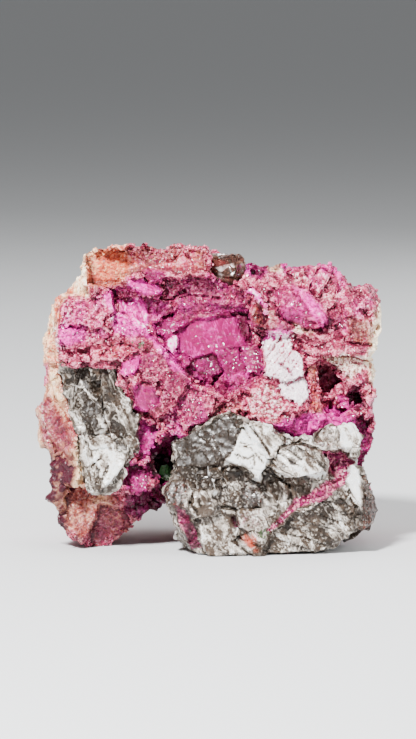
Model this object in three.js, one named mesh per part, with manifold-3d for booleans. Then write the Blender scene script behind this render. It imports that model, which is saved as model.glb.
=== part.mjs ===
// A hand specimen of cobaltoan calcite: a broken block of pink and magenta calcite grown together with two
// masses of grey calcite. It stands on its lobes and leans back a little. Millimetres, +Z up, and the front
// looks towards -Y.
//
// The shape is laid out on the specimen's face: x to the right, up along the face, and depth away from the
// viewer, with depth 0 at the frontmost point. The last step leans the face back and sets it on the ground.
import * as THREE from "three";
import { mergeVertices } from "three/addons/utils/BufferGeometryUtils.js";
import Module from "manifold-3d";

const wasm = await Module();
wasm.setup();

// Driving sizes
const faceWidth = 55;
const faceHeight = 49;
const blockDepth = 33;
const leanDegrees = 6;
const gap = 0.3; // between one calcite and the next
const cell = 1.9; // size of a facet on the face
const coarseCell = 3; // and of one far behind it, measured in depth
const coarseFrom = 13;
const groundLevel = 0.35; // the ground's height on the face at depth 0

const lean = THREE.MathUtils.degToRad(leanDegrees);
const groundSlope = Math.tan(lean);

// Outline of the face, clockwise from the top left corner: x, up
const faceOutline = [
  [-19, 47.2], [-17.8, 48.1], [-12.7, 48.9], [-11.2, 49], [-8.3, 48.5], [-0.5, 48.5], [0.6, 47.6],
  [4.3, 47.4], [6.1, 46], [10.2, 45.8], [14.6, 46], [18.7, 46.7], [20.3, 46.1], [22.7, 43.3],
  [25.7, 42], [26.8, 40.6], [27.4, 38.3], [27.3, 35.8], [26.3, 30.6], [26, 27.7], [26, 18.8],
  [25.7, 17], [24.3, 14.4], [24.6, 12.2], [25.7, 10], [25.8, 7.7], [24.6, 5.5], [22.3, 3.7],
  [17.2, 1.7], [12.8, 1], [6.5, 0.8], [4.3, 0.1], [2.4, 0.1], [-0.9, 0.9], [-2.7, 1.7], [-3.8, 3.3],
  [-4.6, 5.5], [-5.1, 7.4], [-6, 8.5], [-6.8, 7.6], [-10.5, 5.2], [-13.1, 3.3], [-15.3, 1.8],
  [-17.8, 1.2], [-19.1, 1.7], [-19.9, 3.3], [-22.1, 5.5], [-24.1, 8.9], [-25.4, 14.4],
  [-25.6, 17], [-27.4, 21.8], [-27.5, 23.6], [-26.1, 28.4], [-25.2, 30.1], [-25.2, 33.9],
  [-24.3, 36.5], [-24.1, 40.2], [-23.4, 41.3], [-21, 43.7], [-19.2, 44.3],
];

// The relief of the pink face. Each ledge, step or pit is an outline with the depth of its floor at the
// outline's middle, how much deeper it gets per millimetre to the right and up, and the width of its edge.
// A later one lies over an earlier one.
const pinkRelief = [
  {
    name: "left flank", depth: 7.8, slope: [-0.95, 0.05], edge: 2.2,
    outline: [[-30, 31.3], [-22.8, 31.2], [-21, 23.2], [-19.2, 15.1], [-19.2, 11.1], [-24, 2], [-30, 4]],
  },
  {
    name: "upper left flank", depth: 8.2, slope: [-0.8, 0.28], edge: 1.4,
    outline: [[-28, 46], [-19.2, 46], [-19, 42.4], [-17.8, 40.6], [-23, 40.2], [-23.4, 35.8], [-22.8, 31],
      [-28, 30.6]],
  },
  {
    name: "shoulder", depth: 5.3, slope: [0.16, 0.14], edge: 1.2,
    outline: [[6.1, 48], [19, 48], [29, 42], [29, 30.6], [19, 30.6], [16.1, 32.8], [13.9, 35], [8.3, 35],
      [6.7, 40.2]],
  },
  {
    name: "right column", depth: 7, slope: [0.55, 0], edge: 1.2,
    outline: [[20.5, 31.5], [28, 31.5], [28, 13], [24.2, 14.4], [23.8, 21.8], [22.7, 27.7]],
  },
  {
    name: "right rim", depth: 9.5, slope: [1.1, 0], edge: 2.4,
    outline: [[25.4, 42], [29, 42], [29, 28], [25.6, 30]],
  },
  {
    name: "upper wall", depth: 7.6, slope: [0.02, -0.12], edge: 0.7,
    outline: [[-14.2, 42.8], [-9.7, 44.4], [-0.9, 44], [3.2, 43], [6.5, 42], [6.7, 38.3], [-6, 38.7],
      [-8.3, 40.2], [-14.2, 40.2]],
  },
  {
    name: "recess floor", depth: 9.8, slope: [0.03, 0.06], edge: 0.8,
    outline: [[-8.8, 40.2], [-6, 38.7], [6.7, 38.3], [7.6, 34], [8.7, 29.1], [6.5, 27.7], [2.4, 25.4],
      [-2.4, 27.7], [-5.3, 31.7], [-8.3, 35]],
  },
  {
    name: "left block", depth: 4.3, slope: [-0.12, 0.05], edge: 0.4,
    outline: [[-23.7, 40.7], [-15.1, 41.1], [-14.3, 38.5], [-15.2, 36.5], [-14.2, 34.7], [-19.7, 32.6],
      [-23.4, 32]],
  },
  {
    name: "middle ridge", depth: 4, slope: [0.03, 0.1], edge: 0.6,
    outline: [[-23, 32.8], [-14.2, 34.7], [-11.6, 33.9], [-8.3, 34.7], [-5.3, 31.7], [-2.4, 27.7],
      [2.4, 25.4], [3.2, 23.2], [0.2, 21.2], [-3.1, 18.8], [-6, 19.7], [-8.3, 22.1], [-12.7, 27.7],
      [-14.2, 29.9], [-22.8, 30.6]],
  },
  {
    name: "ridge step", depth: 5.6, slope: [0.1, -0.15], edge: 0.4,
    outline: [[-3.5, 26.4], [2.2, 24.8], [3.6, 22.6], [0.2, 21], [-3.1, 18.6], [-5.2, 20.4]],
  },
  {
    name: "striated blade", depth: 6.9, slope: [-0.12, 0.42], edge: 0.4,
    outline: [[-14.1, 39.8], [-9.7, 40.6], [-8.8, 36.5], [-8.3, 34.7], [-11.6, 33.9], [-14.3, 37.2]],
  },
  {
    name: "magenta column", depth: 6.8, slope: [0.22, -0.12], edge: 0.6,
    outline: [[-13.1, 28.4], [-10.5, 25.8], [-6.4, 19.9], [-7.5, 18.1], [-11.2, 14.4], [-11.2, 18.1],
      [-10.8, 21.8], [-12.3, 25.4]],
  },
  {
    name: "foot", depth: 9.6, slope: [0.1, -0.55], edge: 1,
    outline: [[-27, 11.4], [-19, 11.1], [-14.2, 10.3], [-11.2, 10.6], [-9, 7], [-8.3, 4], [-17.8, -2],
      [-27, 0]],
  },
  {
    name: "mouth of the hollow", depth: 15, slope: [0, 0], edge: 1,
    outline: [[-6.8, 19.8], [-2, 19.4], [-2, 8], [-6, 7], [-8.3, 9.6], [-7.2, 12.4], [-8, 14.6],
      [-9.2, 16.6], [-7.9, 18.4]],
  },
  {
    name: "shadow shelf", depth: 13, slope: [0.3, 0], edge: 0.8,
    outline: [[-11.2, 10.3], [-6.8, 12.2], [-4, 12], [-4, 6], [-8.3, 5.6], [-12.6, 6.2]],
  },
  {
    name: "top ledge", depth: 3.5, slope: [0.05, 0.2], edge: 0.35,
    outline: [[-19.6, 51], [-0.1, 51], [0.6, 47.7], [0.2, 43.9], [-0.9, 43.3], [-6.8, 43], [-9.7, 43.9],
      [-13.4, 42.4], [-17.8, 40.6], [-19.4, 42.4]],
  },
  {
    name: "smoky notch", depth: 6, slope: [0.1, 0.3], edge: 0.4,
    outline: [[0, 52], [5, 52], [6.4, 44.2], [5.6, 42.4], [3.2, 42], [0.4, 44]],
  },
  {
    name: "magenta bulge", depth: 4.1, slope: [0.02, 0.12], edge: 2.4,
    outline: [[10.2, 42], [14.6, 42.4], [17.9, 40.2], [18.8, 37.6], [16.8, 35.8], [13.1, 36.5], [9.4, 39]],
  },
  {
    name: "recess fin", depth: 4.6, slope: [0.25, 0], edge: 0.4,
    outline: [[5.9, 42], [7.4, 42.4], [8.7, 39.1], [9.1, 35.8], [7.6, 35], [6.7, 38]],
  },
  {
    name: "white plate", depth: 4.7, slope: [-0.06, 0.12], edge: 0.4,
    outline: [[8.7, 34.7], [13.5, 34.8], [13.9, 32.8], [15.3, 30.6], [15, 28.4], [15.9, 25.8],
      [15.3, 23.2], [13.5, 21], [10.2, 20.6], [7.6, 24], [9.1, 27.7], [8.5, 30.6]],
  },
  {
    name: "upper right pit", depth: 12.5, slope: [0.2, -0.1], edge: 1,
    outline: [[17.2, 31.3], [20.1, 30.2], [21.1, 27.7], [19.9, 25.8], [17.4, 25.4], [16.6, 28.4]],
  },
  {
    name: "lower right pit", depth: 12, slope: [0, 0.1], edge: 0.9,
    outline: [[21.6, 27.3], [23.8, 27.7], [24.4, 24.7], [23.8, 22.7], [22, 24]],
  },
  {
    name: "right valley", depth: 10.4, slope: [0.1, 0], edge: 1.3,
    outline: [[19, 25.4], [22.3, 24], [24, 21.8], [24.6, 15.9], [22.4, 14], [22.7, 19.5], [20.1, 21.8],
      [17.5, 23.2]],
  },
  {
    name: "crevice above the grey mass", depth: 9, slope: [0, 0], edge: 0.5,
    outline: [[11, 20.4], [14.6, 19.4], [17, 20], [16.8, 17], [11, 18]],
  },
];

// The boundary of the right grey mass against the pink block, from the arch up and round to the right side
const greyRightSeam = [
  [-5.2, 7.2], [-6.4, 10.6], [-5.1, 12], [-4.7, 14], [-4.9, 17.9], [-3.1, 18.8], [-0.9, 20.6], [1.7, 22],
  [3.9, 22.4], [5.4, 21.8], [9.4, 20.5], [12.4, 18.7], [16.6, 18.7], [17, 19.9], [19, 20.6], [22.3, 20.7],
  [23.4, 19.2], [23.3, 17.1], [22.8, 14.4], [24.2, 13.5],
];
const greyRightReach = [[34, 12], [34, -6], [-2, -6], [-5.6, 6]]; // far corners, outside the block

// The planes along which the grey masses and the clear crystal meet the block behind them: a point on each
// and the way out of the mass, both as x, up, depth
const greyRightContact = [
  { through: [24, 13.5, 9], facing: [0.12, 0.46, 0.88] },
  { through: [-5, 8, 13], facing: [-0.3, -0.05, 0.95] },
  { through: [20, 4, 17.5], facing: [0.35, -0.1, 0.93] },
];
const greyLeftContact = [{ through: [-16, 20, 11.5], facing: [0.05, 0.1, 1] }];
const clearCrystalContact = [{ through: [3, 44, 12.5], facing: [0, -0.3, 0.95] }];
const clearCrystalOutline = [[0.4, 52], [4.6, 52], [6, 44.2], [5.3, 43], [3.2, 42.6], [0.8, 44.3]];

// The left grey mass, let into the face
const greyLeftOutline = [
  [-22.7, 30.7], [-19.3, 29.9], [-14.5, 29.7], [-13.7, 26.9], [-12.5, 24.7], [-10.8, 21.8], [-10.8, 18.1],
  [-11.6, 15.9], [-13.1, 14.4], [-13.2, 12.2], [-14.2, 10.7], [-17.8, 10.3], [-18.9, 12.2], [-19, 15.1],
  [-19.7, 18.8], [-21, 23.2],
];

const greyRightRelief = [
  {
    name: "dark face", depth: 3.2, slope: [-0.3, 0.12], edge: 0.5,
    outline: [[-8, 18.1], [-2, 24], [5.5, 23.4], [5.5, 21.8], [4.5, 18.1], [3.5, 15.3], [0.6, 14.4],
      [-8, 14.2]],
  },
  {
    name: "right facet", depth: 4.4, slope: [0.7, 0.1], edge: 0.6,
    outline: [[21.9, 15.2], [28, 15], [28, 5], [22.7, 6], [21.8, 10.3]],
  },
  {
    name: "bottom right", depth: 3, slope: [0.16, -0.22], edge: 0.6,
    outline: [[8.3, 3.7], [11.6, 6.5], [19, 11.8], [22, 12.2], [22.7, 6], [26, 3], [17.2, -2], [6.5, -2]],
  },
  {
    name: "bottom left", depth: 2.9, slope: [-0.12, -0.3], edge: 0.7,
    outline: [[-7, 7.4], [1.7, 7.4], [8, 6.6], [8.3, 3.7], [6.5, -2], [-6, -2]],
  },
  {
    name: "dark hollow", depth: 3.3, slope: [0.12, 0.1], edge: 0.8,
    outline: [[3.5, 14.9], [8.7, 13.8], [10.2, 10.7], [8, 7], [4.3, 7.7], [2.4, 10.7]],
  },
  {
    name: "left blade", depth: 2.1, slope: [-0.16, -0.05], edge: 0.4,
    outline: [[-8, 10.9], [-3.1, 12.5], [1.9, 14], [2.4, 10.7], [1.7, 7.4], [-3.1, 6.6], [-8, 7.4]],
  },
  {
    name: "upper strip", depth: 2.3, slope: [0.1, 0.25], edge: 0.4,
    outline: [[5.5, 23.4], [12, 21.4], [19, 18.4], [18.7, 14.9], [13.9, 18.1], [9.4, 15.9], [8, 19.1]],
  },
  {
    name: "bright kite", depth: 1.5, slope: [-0.12, 0.2], edge: 0.3,
    outline: [[5.7, 20.8], [8, 19.1], [9.4, 15.9], [8.6, 13.9], [6.5, 14.4], [3.5, 15.1], [4.5, 18.1]],
  },
  {
    name: "lens", depth: 0.5, slope: [0.04, 0.06], edge: 1.6,
    outline: [[9.3, 16.2], [11.3, 17.9], [14.6, 17.9], [18.7, 16.2], [18.7, 14.4], [16.1, 13.1],
      [12, 13.3], [9.8, 14.4]],
  },
  {
    name: "white lump", depth: 2.4, slope: [0.3, 0.1], edge: 0.5,
    outline: [[20.5, 22], [24, 22], [25, 19.2], [23.3, 16.8], [21.2, 16.8], [20.3, 18.4]],
  },
  {
    name: "lump neck", depth: 3.9, slope: [0.1, 0], edge: 0.5,
    outline: [[16, 22], [20.5, 22], [20.3, 18.4], [20.8, 17], [18.7, 16.6], [16, 17.6]],
  },
  {
    name: "vein hole", depth: 7.6, slope: [0, 0], edge: 1,
    outline: [[18.7, 16.6], [21.6, 17], [22.2, 14.7], [20.5, 12.9], [19, 13.6]],
  },
  {
    name: "vein groove", depth: 3.9, slope: [0.05, 0.08], edge: 0.7,
    outline: [[20.4, 13.2], [18.4, 10.8], [14.4, 8], [9, 4.2], [8.6, 4.8], [13.7, 9.2], [17.4, 12.4],
      [18.9, 13.8]],
  },
];

const greyLeftRelief = [
  {
    name: "streaked hollow", depth: 6.2, slope: [0.12, -0.02], edge: 1.4,
    outline: [[-21, 27.6], [-17, 28.6], [-15, 28], [-12.6, 22], [-12.8, 18.6], [-17.6, 18.2]],
  },
  {
    name: "white patch", depth: 4.8, slope: [-0.1, 0.2], edge: 0.8,
    outline: [[-18.4, 17], [-13, 17.4], [-13.2, 13.6], [-15.4, 11.4], [-17.6, 12]],
  },
];

const clearCrystalRelief = [
  {
    name: "glassy face", depth: 6, slope: [0.1, 0.3], edge: 0.5,
    outline: [[-1, 52], [7, 52], [7, 41], [-1, 41]],
  },
];

// Where the underside comes down to the ground: x, depth, radius
const footings = [
  [-17.6, 12, 5.5],
  [-15, 23, 6],
  [9, 25, 8],
  [3, 18, 5],
];

// The arch between the feet, behind the face: x and height above the ground
const archOutline = [[-15.6, -3], [-12.6, 2.6], [-10.4, 5], [-8, 5.6], [-5.4, 5.4], [-4, 3.4], [-2.6, -3]];

// Planes that break the back of the block into facets: outward direction (x, up, depth) and distance
const backFacets = [
  [[0.04, 0.06, 1], blockDepth + 0.9],
  [[-0.62, 0.1, 0.78], 36.6],
  [[0.58, -0.06, 0.8], 37.4],
  [[0.1, 0.62, 0.78], 49.4],
  [[-0.35, 0.72, 0.6], 52.4],
  [[0.45, 0.55, 0.7], 47.6],
  [[0.15, -0.66, 0.74], 17.8],
  [[-0.45, -0.5, 0.74], 22.6],
];

// Single crystals grown out of the pink face: place (x, up, depth), edge lengths, turns about x, up and depth
const crystals = [
  { place: [-9.4, 42.4, 5.8], size: [5, 1.7, 2.6], turn: [20, 10, 38] }, // bright shard under the top ledge
  { place: [-12.4, 42.9, 5.8], size: [2.2, 1.1, 1.8], turn: [10, 30, 45] },
  { place: [3.6, 27.2, 9.4], size: [3.6, 4.2, 2.8], turn: [8, -6, 32] }, // rhombs on the recess floor
  { place: [-1.2, 27.8, 9.2], size: [3.2, 3, 2.8], turn: [-10, 12, 12] },
  { place: [-5.7, 33.8, 8.8], size: [1.9, 2.9, 2.8], turn: [-8, 20, 18] },
  { place: [6.6, 30.6, 8.9], size: [2.4, 3.2, 2.4], turn: [12, 10, -14] },
  { place: [-9.8, 13, 8.8], size: [3.6, 3.2, 4.4], turn: [24, 18, 30] }, // blocks beside the hollow
  { place: [-11.4, 11.8, 9.4], size: [3, 2.8, 3.4], turn: [-14, 30, 12] },
  { place: [-9.4, 15.8, 9.6], size: [2.6, 2.4, 3.6], turn: [30, -20, 50] },
  { place: [-6.8, 20.2, 6.6], size: [2.6, 2.2, 3], turn: [20, 30, 20] },
  { place: [-3.8, 19.8, 6.4], size: [2.2, 1.8, 3], turn: [-20, 20, 60] },
  { place: [-13, 33.2, 4.8], size: [3.2, 2.2, 2.2], turn: [10, -16, 28] },
  { place: [-12.2, 30, 4.9], size: [2.8, 3.8, 2], turn: [-12, 14, -36] }, // magenta blade in the ridge
  { place: [-4.6, 30.2, 5.6], size: [4.4, 2, 2.6], turn: [10, 10, -38] },
  { place: [-20.4, 38, 5], size: [3, 3, 2.2], turn: [6, -8, 10] },
  { place: [-17.2, 36.2, 4.6], size: [2.6, 2.8, 2.2], turn: [-10, 12, -8] },
  { place: [22.4, 22, 8], size: [2.2, 3.6, 2.8], turn: [14, 20, 42] }, // magenta blade between the right pits
  { place: [16, 26.8, 6.8], size: [1.8, 4, 2.6], turn: [8, -20, -10] },
  { place: [10.6, 43.9, 6.4], size: [3.4, 2.2, 2.6], turn: [20, 16, 10] },
  { place: [18.4, 43, 7.4], size: [3.4, 2.8, 2.8], turn: [-10, 14, 24] },
];

// The hollow beside the arch: middle (x, up, depth), radii, and how far its crust of crystals stands in
const hollow = { middle: [-6.9, 14.2, 14.5], radii: [3.4, 5.8, 6.8], crust: 1.4 };
const greenCrystal = { place: [-6.3, 13.4, 10.8], radii: [0.8, 1.05, 0.8] };

const pinkLook = new THREE.MeshStandardMaterial({ color: "#b04a86", roughness: 0.5, metalness: 0 });
const greyLook = new THREE.MeshStandardMaterial({ color: "#9b9a94", roughness: 0.3, metalness: 0 });
const crustLook = new THREE.MeshStandardMaterial({ color: "#8f1f66", roughness: 0.3, metalness: 0 });
const greenLook = new THREE.MeshStandardMaterial({ color: "#4a6a3a", roughness: 0.2, metalness: 0 });

const clamp01 = (value) => Math.min(1, Math.max(0, value));
const mix = (a, b, share) => a + (b - a) * share;
const smoothStep = (from, to, value) => {
  const t = clamp01((value - from) / (to - from));
  return t * t * (3 - 2 * t);
};

// The larger of two distances, with the edge where they meet worn round
function wornMax(a, b, radius) {
  const overlap = Math.max(radius - Math.abs(a - b), 0) / radius;
  return Math.max(a, b) + (overlap * overlap * radius) / 4;
}

// Distance from a point to a closed outline, negative inside it
function outlineDistance(outline, x, up) {
  let nearest = Infinity;
  let inside = false;
  for (let i = 0, j = outline.length - 1; i < outline.length; j = i++) {
    const [ax, ay] = outline[j];
    const [bx, by] = outline[i];
    const t = clamp01(((x - ax) * (bx - ax) + (up - ay) * (by - ay)) / ((bx - ax) ** 2 + (by - ay) ** 2));
    nearest = Math.min(nearest, Math.hypot(x - mix(ax, bx, t), up - mix(ay, by, t)));
    if (ay > up !== by > up && x < ax + ((up - ay) / (by - ay)) * (bx - ax)) inside = !inside;
  }
  return inside ? -nearest : nearest;
}

// A steady random number from 0 to 1 for a cell of space and a channel
function cellNoise(i, j, k, channel) {
  const mixed = Math.sin(i * 127.1 + j * 311.7 + k * 74.7 + channel * 53.3) * 43758.5453;
  return mixed - Math.floor(mixed);
}

// Broken rock: space is parted into rough cells of the given size, each with its own tilted flat face, and
// neighbouring faces join in a steep step
function brokenFaces(x, y, z, size) {
  const at = [x / size, y / size, z / size];
  const [ci, cj, ck] = at.map(Math.floor);
  const stepSharpness = 20;
  let total = 0;
  let weights = 0;
  for (let i = ci - 1; i <= ci + 1; i++)
    for (let j = cj - 1; j <= cj + 1; j++)
      for (let k = ck - 1; k <= ck + 1; k++) {
        const away = [i, j, k].map((index, axis) => at[axis] - index - cellNoise(i, j, k, axis));
        const weight = Math.exp(-stepSharpness * (away[0] ** 2 + away[1] ** 2 + away[2] ** 2));
        if (weight < 1e-12) continue;
        const tilt = away.map((distance, axis) => distance * (2 * cellNoise(i, j, k, axis + 3) - 1));
        total += weight * (tilt[0] + tilt[1] + tilt[2] + 1.1 * cellNoise(i, j, k, 6) - 0.55);
        weights += weight;
      }
  return total / weights;
}

// Prepares a relief's outlines, so that each knows its middle
function withMiddles(relief) {
  return relief.map((ledge) => {
    const count = ledge.outline.length;
    const middle = [0, 1].map((axis) => ledge.outline.reduce((sum, point) => sum + point[axis], 0) / count);
    return { ...ledge, middle };
  });
}

// Depth of a relief's surface at a point of the face
function reliefDepth(relief, start, x, up) {
  let depth = start;
  for (const { outline, middle, depth: floor, slope, edge } of relief) {
    const share = clamp01(0.5 - outlineDistance(outline, x, up) / edge);
    const ledge = floor + slope[0] * (x - middle[0]) + slope[1] * (up - middle[1]);
    depth = mix(depth, ledge, share);
  }
  return depth;
}

const pinkLedges = withMiddles(pinkRelief);
const clearCrystalLedges = withMiddles(clearCrystalRelief);
const greyRightLedges = withMiddles(greyRightRelief);
const greyLeftLedges = withMiddles(greyLeftRelief);

const groundAt = (depth) => groundLevel + groundSlope * depth;

// How far the sides draw in behind the face: little at the base, which has to carry the block
function drawIn(up, depth) {
  const behind = Math.max(0, depth - 12);
  return (0.08 * behind + 0.011 * behind * behind) * mix(0.12, 1, smoothStep(3, 20, up));
}

function sideField(x, up, depth) {
  const rough = 1.5 * brokenFaces(x, up, depth, 8) + 0.8 * brokenFaces(up, depth, x, 4.4) + 0.7;
  return outlineDistance(faceOutline, x, up) + drawIn(up, depth) + rough * smoothStep(3, 12, depth);
}

// The underside hangs a little above the ground except round the footings
function undersideField(x, up, depth) {
  const footing = Math.max(
    ...footings.map(([fx, fd, radius]) => 1 - smoothStep(0.4, 1.1, Math.hypot(x - fx, depth - fd) / radius)),
  );
  const rough = 1.3 * brokenFaces(x, depth, up, 6);
  return groundAt(depth) + 1.7 - 2.1 * footing + rough * (1 - 0.7 * footing) - up;
}

function archField(x, up, depth) {
  const rough = 0.5 * brokenFaces(x, up, depth, 4);
  const narrowing = 3 * (1 - smoothStep(7, 11, depth));
  return rough - narrowing - outlineDistance(archOutline, x, up - groundAt(depth));
}

function backField(x, up, depth) {
  const rough = 2 * brokenFaces(x + 40, up, depth, 8.5) + 0.9 * brokenFaces(x, up + 30, depth, 4.6);
  const facets = backFacets.map(([[nx, nu, nd], distance]) => {
    const length = Math.hypot(nx, nu, nd);
    return (nx * x + nu * up + nd * depth - distance) / length;
  });
  return Math.max(...facets) + rough;
}

function pinkField(x, depth, up) {
  const rough = 0.7 * brokenFaces(x, up, depth, 4.4) + 0.4 * brokenFaces(x, up, depth, 2.4);
  const face = reliefDepth(pinkLedges, 6, x, up) - depth + rough;
  const side = wornMax(sideField(x, up, depth), face, 1.2);
  const under = Math.max(undersideField(x, up, depth), archField(x, up, depth));
  return Math.max(side, backField(x, up, depth), under);
}

function greyRightField(x, depth, up) {
  const rough = 0.6 * brokenFaces(x, up, depth, 3.8) + 0.35 * brokenFaces(x, up, depth, 2.2);
  const face = reliefDepth(greyRightLedges, 3.4, x, up) - depth + rough;
  const sideRough = 0.9 * brokenFaces(x, up, depth, 4.6) * smoothStep(3, 8, depth);
  return wornMax(outlineDistance(faceOutline, x, up) + sideRough, face, 2);
}

function greyLeftField(x, depth, up) {
  const rough = 0.5 * brokenFaces(x, up, depth, 3.4) + 0.3 * brokenFaces(x, up, depth, 2.2);
  return reliefDepth(greyLeftLedges, 5.2, x, up) - depth + rough;
}

function clearCrystalField(x, depth, up) {
  const face = reliefDepth(clearCrystalLedges, 6, x, up) - depth + 0.7 * brokenFaces(x, up, depth, 3);
  return Math.max(face, outlineDistance(faceOutline, x, up) + 0.5 * brokenFaces(up, x, depth, 3));
}

// The grid's lines along an axis
function gridLines(low, high, fine, coarse, coarseStart) {
  const lines = [low];
  while (lines.at(-1) < high) lines.push(lines.at(-1) + (lines.at(-1) < coarseStart ? fine : coarse));
  return lines;
}

// Turns a field, negative inside, into a closed faceted surface: one vertex in each grid cell that the
// surface crosses, placed where the tangent planes at its crossings meet, so that edges stay sharp.
function facetedSurface(field, low, high, step) {
  const lines = [
    gridLines(low[0], high[0], step, step, high[0]),
    gridLines(low[1], high[1], step, coarseCell, coarseFrom),
    gridLines(low[2], high[2], step, step, high[2]),
  ];
  const count = lines.map((line) => line.length);
  const node = (i, j, k) => (k * count[1] + j) * count[0] + i;
  const place = (...index) => index.map((n, axis) => lines[axis][n]);
  const atRim = (...index) => index.some((n, axis) => n === 0 || n === count[axis] - 1);
  const solid = new Uint8Array(count[0] * count[1] * count[2]);
  const eachNode = (visit, margin = 0) => {
    for (let k = 0; k < count[2] - margin; k++)
      for (let j = 0; j < count[1] - margin; j++) for (let i = 0; i < count[0] - margin; i++) visit(i, j, k);
  };
  eachNode((i, j, k) => {
    solid[node(i, j, k)] = !atRim(i, j, k) && field(...place(i, j, k)) < 0 ? 1 : 0;
  });
  fillTouchingCorners(solid, node, eachNode);

  const crossings = new Map();
  const crossingOn = (a, b) => {
    const key = `${a} ${b}`;
    if (!crossings.has(key)) crossings.set(key, surfaceCrossing(field, place(...a), place(...b)));
    return crossings.get(key);
  };
  const vertices = [];
  const vertexOf = new Map();
  eachNode((i, j, k) => {
    const found = [];
    for (const [from, to] of cellEdges) {
      const a = [i + from[0], j + from[1], k + from[2]];
      const b = [i + to[0], j + to[1], k + to[2]];
      if (solid[node(...a)] !== solid[node(...b)]) found.push(crossingOn(a, b));
    }
    if (!found.length) return;
    vertexOf.set(node(i, j, k), vertices.length / 3);
    vertices.push(...meetingPoint(found, place(i, j, k), place(i + 1, j + 1, k + 1)));
  }, 1);

  const triangles = [];
  const vertex = (n) => new THREE.Vector3().fromArray(vertices, n * 3);
  const apart = (a, b) => vertex(a).distanceTo(vertex(b));
  eachNode((i, j, k) => {
    for (let axis = 0; axis < 3; axis++) {
      const at = [i, j, k];
      const next = [i, j, k];
      next[axis] += 1;
      const [second, third] = [(axis + 1) % 3, (axis + 2) % 3];
      if (!at[second] || !at[third] || solid[node(...at)] === solid[node(...next)]) continue;
      const around = [[0, 0], [-1, 0], [-1, -1], [0, -1]].map(([p, q]) => {
        const beside = [i, j, k];
        beside[second] += p;
        beside[third] += q;
        return vertexOf.get(node(...beside));
      });
      const [a, b, c, d] = solid[node(...at)] ? around : around.reverse();
      if (apart(a, c) <= apart(b, d)) triangles.push(a, b, c, a, c, d);
      else triangles.push(a, b, d, b, c, d);
    }
  }, 1);
  return { vertices, triangles };
}

// The twelve edges of a grid cell, by their two corners
const cellEdges = [0, 1, 2].flatMap((axis) =>
  [[0, 0], [0, 1], [1, 0], [1, 1]].map(([a, b]) => {
    const from = [0, 0, 0];
    from[(axis + 1) % 3] = a;
    from[(axis + 2) % 3] = b;
    const to = [...from];
    to[axis] = 1;
    return [from, to];
  }),
);

// Where the surface crosses a grid edge, and which way it faces there
function surfaceCrossing(field, start, end) {
  let [from, to] = [start, end];
  const inside = field(...from) < 0;
  const halfway = () => from.map((value, axis) => (value + to[axis]) / 2);
  if (field(...to) < 0 === inside) return { point: halfway(), normal: new THREE.Vector3() };
  for (let round = 0; round < 9; round++) {
    const middle = halfway();
    if (field(...middle) < 0 === inside) from = middle;
    else to = middle;
  }
  const slope = [0, 1, 2].map((axis) => {
    const [ahead, behind] = [[...from], [...from]];
    ahead[axis] += 0.1;
    behind[axis] -= 0.1;
    return field(...ahead) - field(...behind);
  });
  return { point: from, normal: new THREE.Vector3(...slope).normalize() };
}

// Fills a corner wherever two solid corners touch only across a cell face, which no closed surface can pass
function fillTouchingCorners(solid, node, eachNode) {
  const planes = [[[1, 0, 0], [0, 1, 0]], [[0, 1, 0], [0, 0, 1]], [[0, 0, 1], [1, 0, 0]]];
  let changed = true;
  while (changed) {
    changed = false;
    eachNode((i, j, k) => {
      for (const [u, v] of planes) {
        const corners = [
          node(i, j, k),
          node(i + u[0], j + u[1], k + u[2]),
          node(i + u[0] + v[0], j + u[1] + v[1], k + u[2] + v[2]),
          node(i + v[0], j + v[1], k + v[2]),
        ];
        const [a, b, c, d] = corners.map((corner) => solid[corner]);
        if (a === c && b === d && a !== b) {
          solid[corners[a ? 1 : 0]] = 1;
          changed = true;
        }
      }
    }, 1);
  }
}

// The point nearest to all the tangent planes at a cell's crossings, kept inside the cell
function meetingPoint(crossings, cellLow, cellHigh) {
  const middle = new THREE.Vector3();
  crossings.forEach(({ point }) => middle.add(new THREE.Vector3(...point)));
  middle.divideScalar(crossings.length);
  const hold = 0.12; // pull towards the middle, which settles flat stretches
  const sums = [hold, 0, 0, 0, hold, 0, 0, 0, hold];
  const right = new THREE.Vector3();
  crossings.forEach(({ point, normal }) => {
    const n = normal.toArray();
    for (let entry = 0; entry < 9; entry++) sums[entry] += n[Math.floor(entry / 3)] * n[entry % 3];
    right.addScaledVector(normal, normal.dot(new THREE.Vector3(...point).sub(middle)));
  });
  const solved = right.applyMatrix3(new THREE.Matrix3().set(...sums).invert()).add(middle);
  return solved.toArray().map((value, axis) => {
    const margin = 0.07 * (cellHigh[axis] - cellLow[axis]);
    return Math.min(cellHigh[axis] - margin, Math.max(cellLow[axis] + margin, value));
  });
}

// A solid for joining and cutting, from a three.js geometry or from a surface's vertices and triangles
function solidOf(geometry) {
  const bare = geometry.clone();
  bare.deleteAttribute("normal");
  bare.deleteAttribute("uv");
  const merged = mergeVertices(bare, 1e-4);
  return new wasm.Manifold(
    new wasm.Mesh({
      numProp: 3,
      vertProperties: merged.attributes.position.array,
      triVerts: new Uint32Array(merged.index.array),
    }),
  );
}

function fieldSolid(field, low, high, step) {
  const { vertices, triangles } = facetedSurface(field, low, high, step);
  return new wasm.Manifold(
    new wasm.Mesh({
      numProp: 3,
      vertProperties: new Float32Array(vertices),
      triVerts: new Uint32Array(triangles),
    }),
  );
}

// A prism over an outline of the face, from one depth to another
function prism(outline, fromDepth, toDepth) {
  const shape = new THREE.Shape(outline.map(([x, up]) => new THREE.Vector2(x, up)));
  const geometry = new THREE.ExtrudeGeometry(shape, { depth: toDepth - fromDepth, bevelEnabled: false });
  geometry.rotateX(Math.PI / 2).translate(0, toDepth, 0);
  return solidOf(geometry);
}

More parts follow.
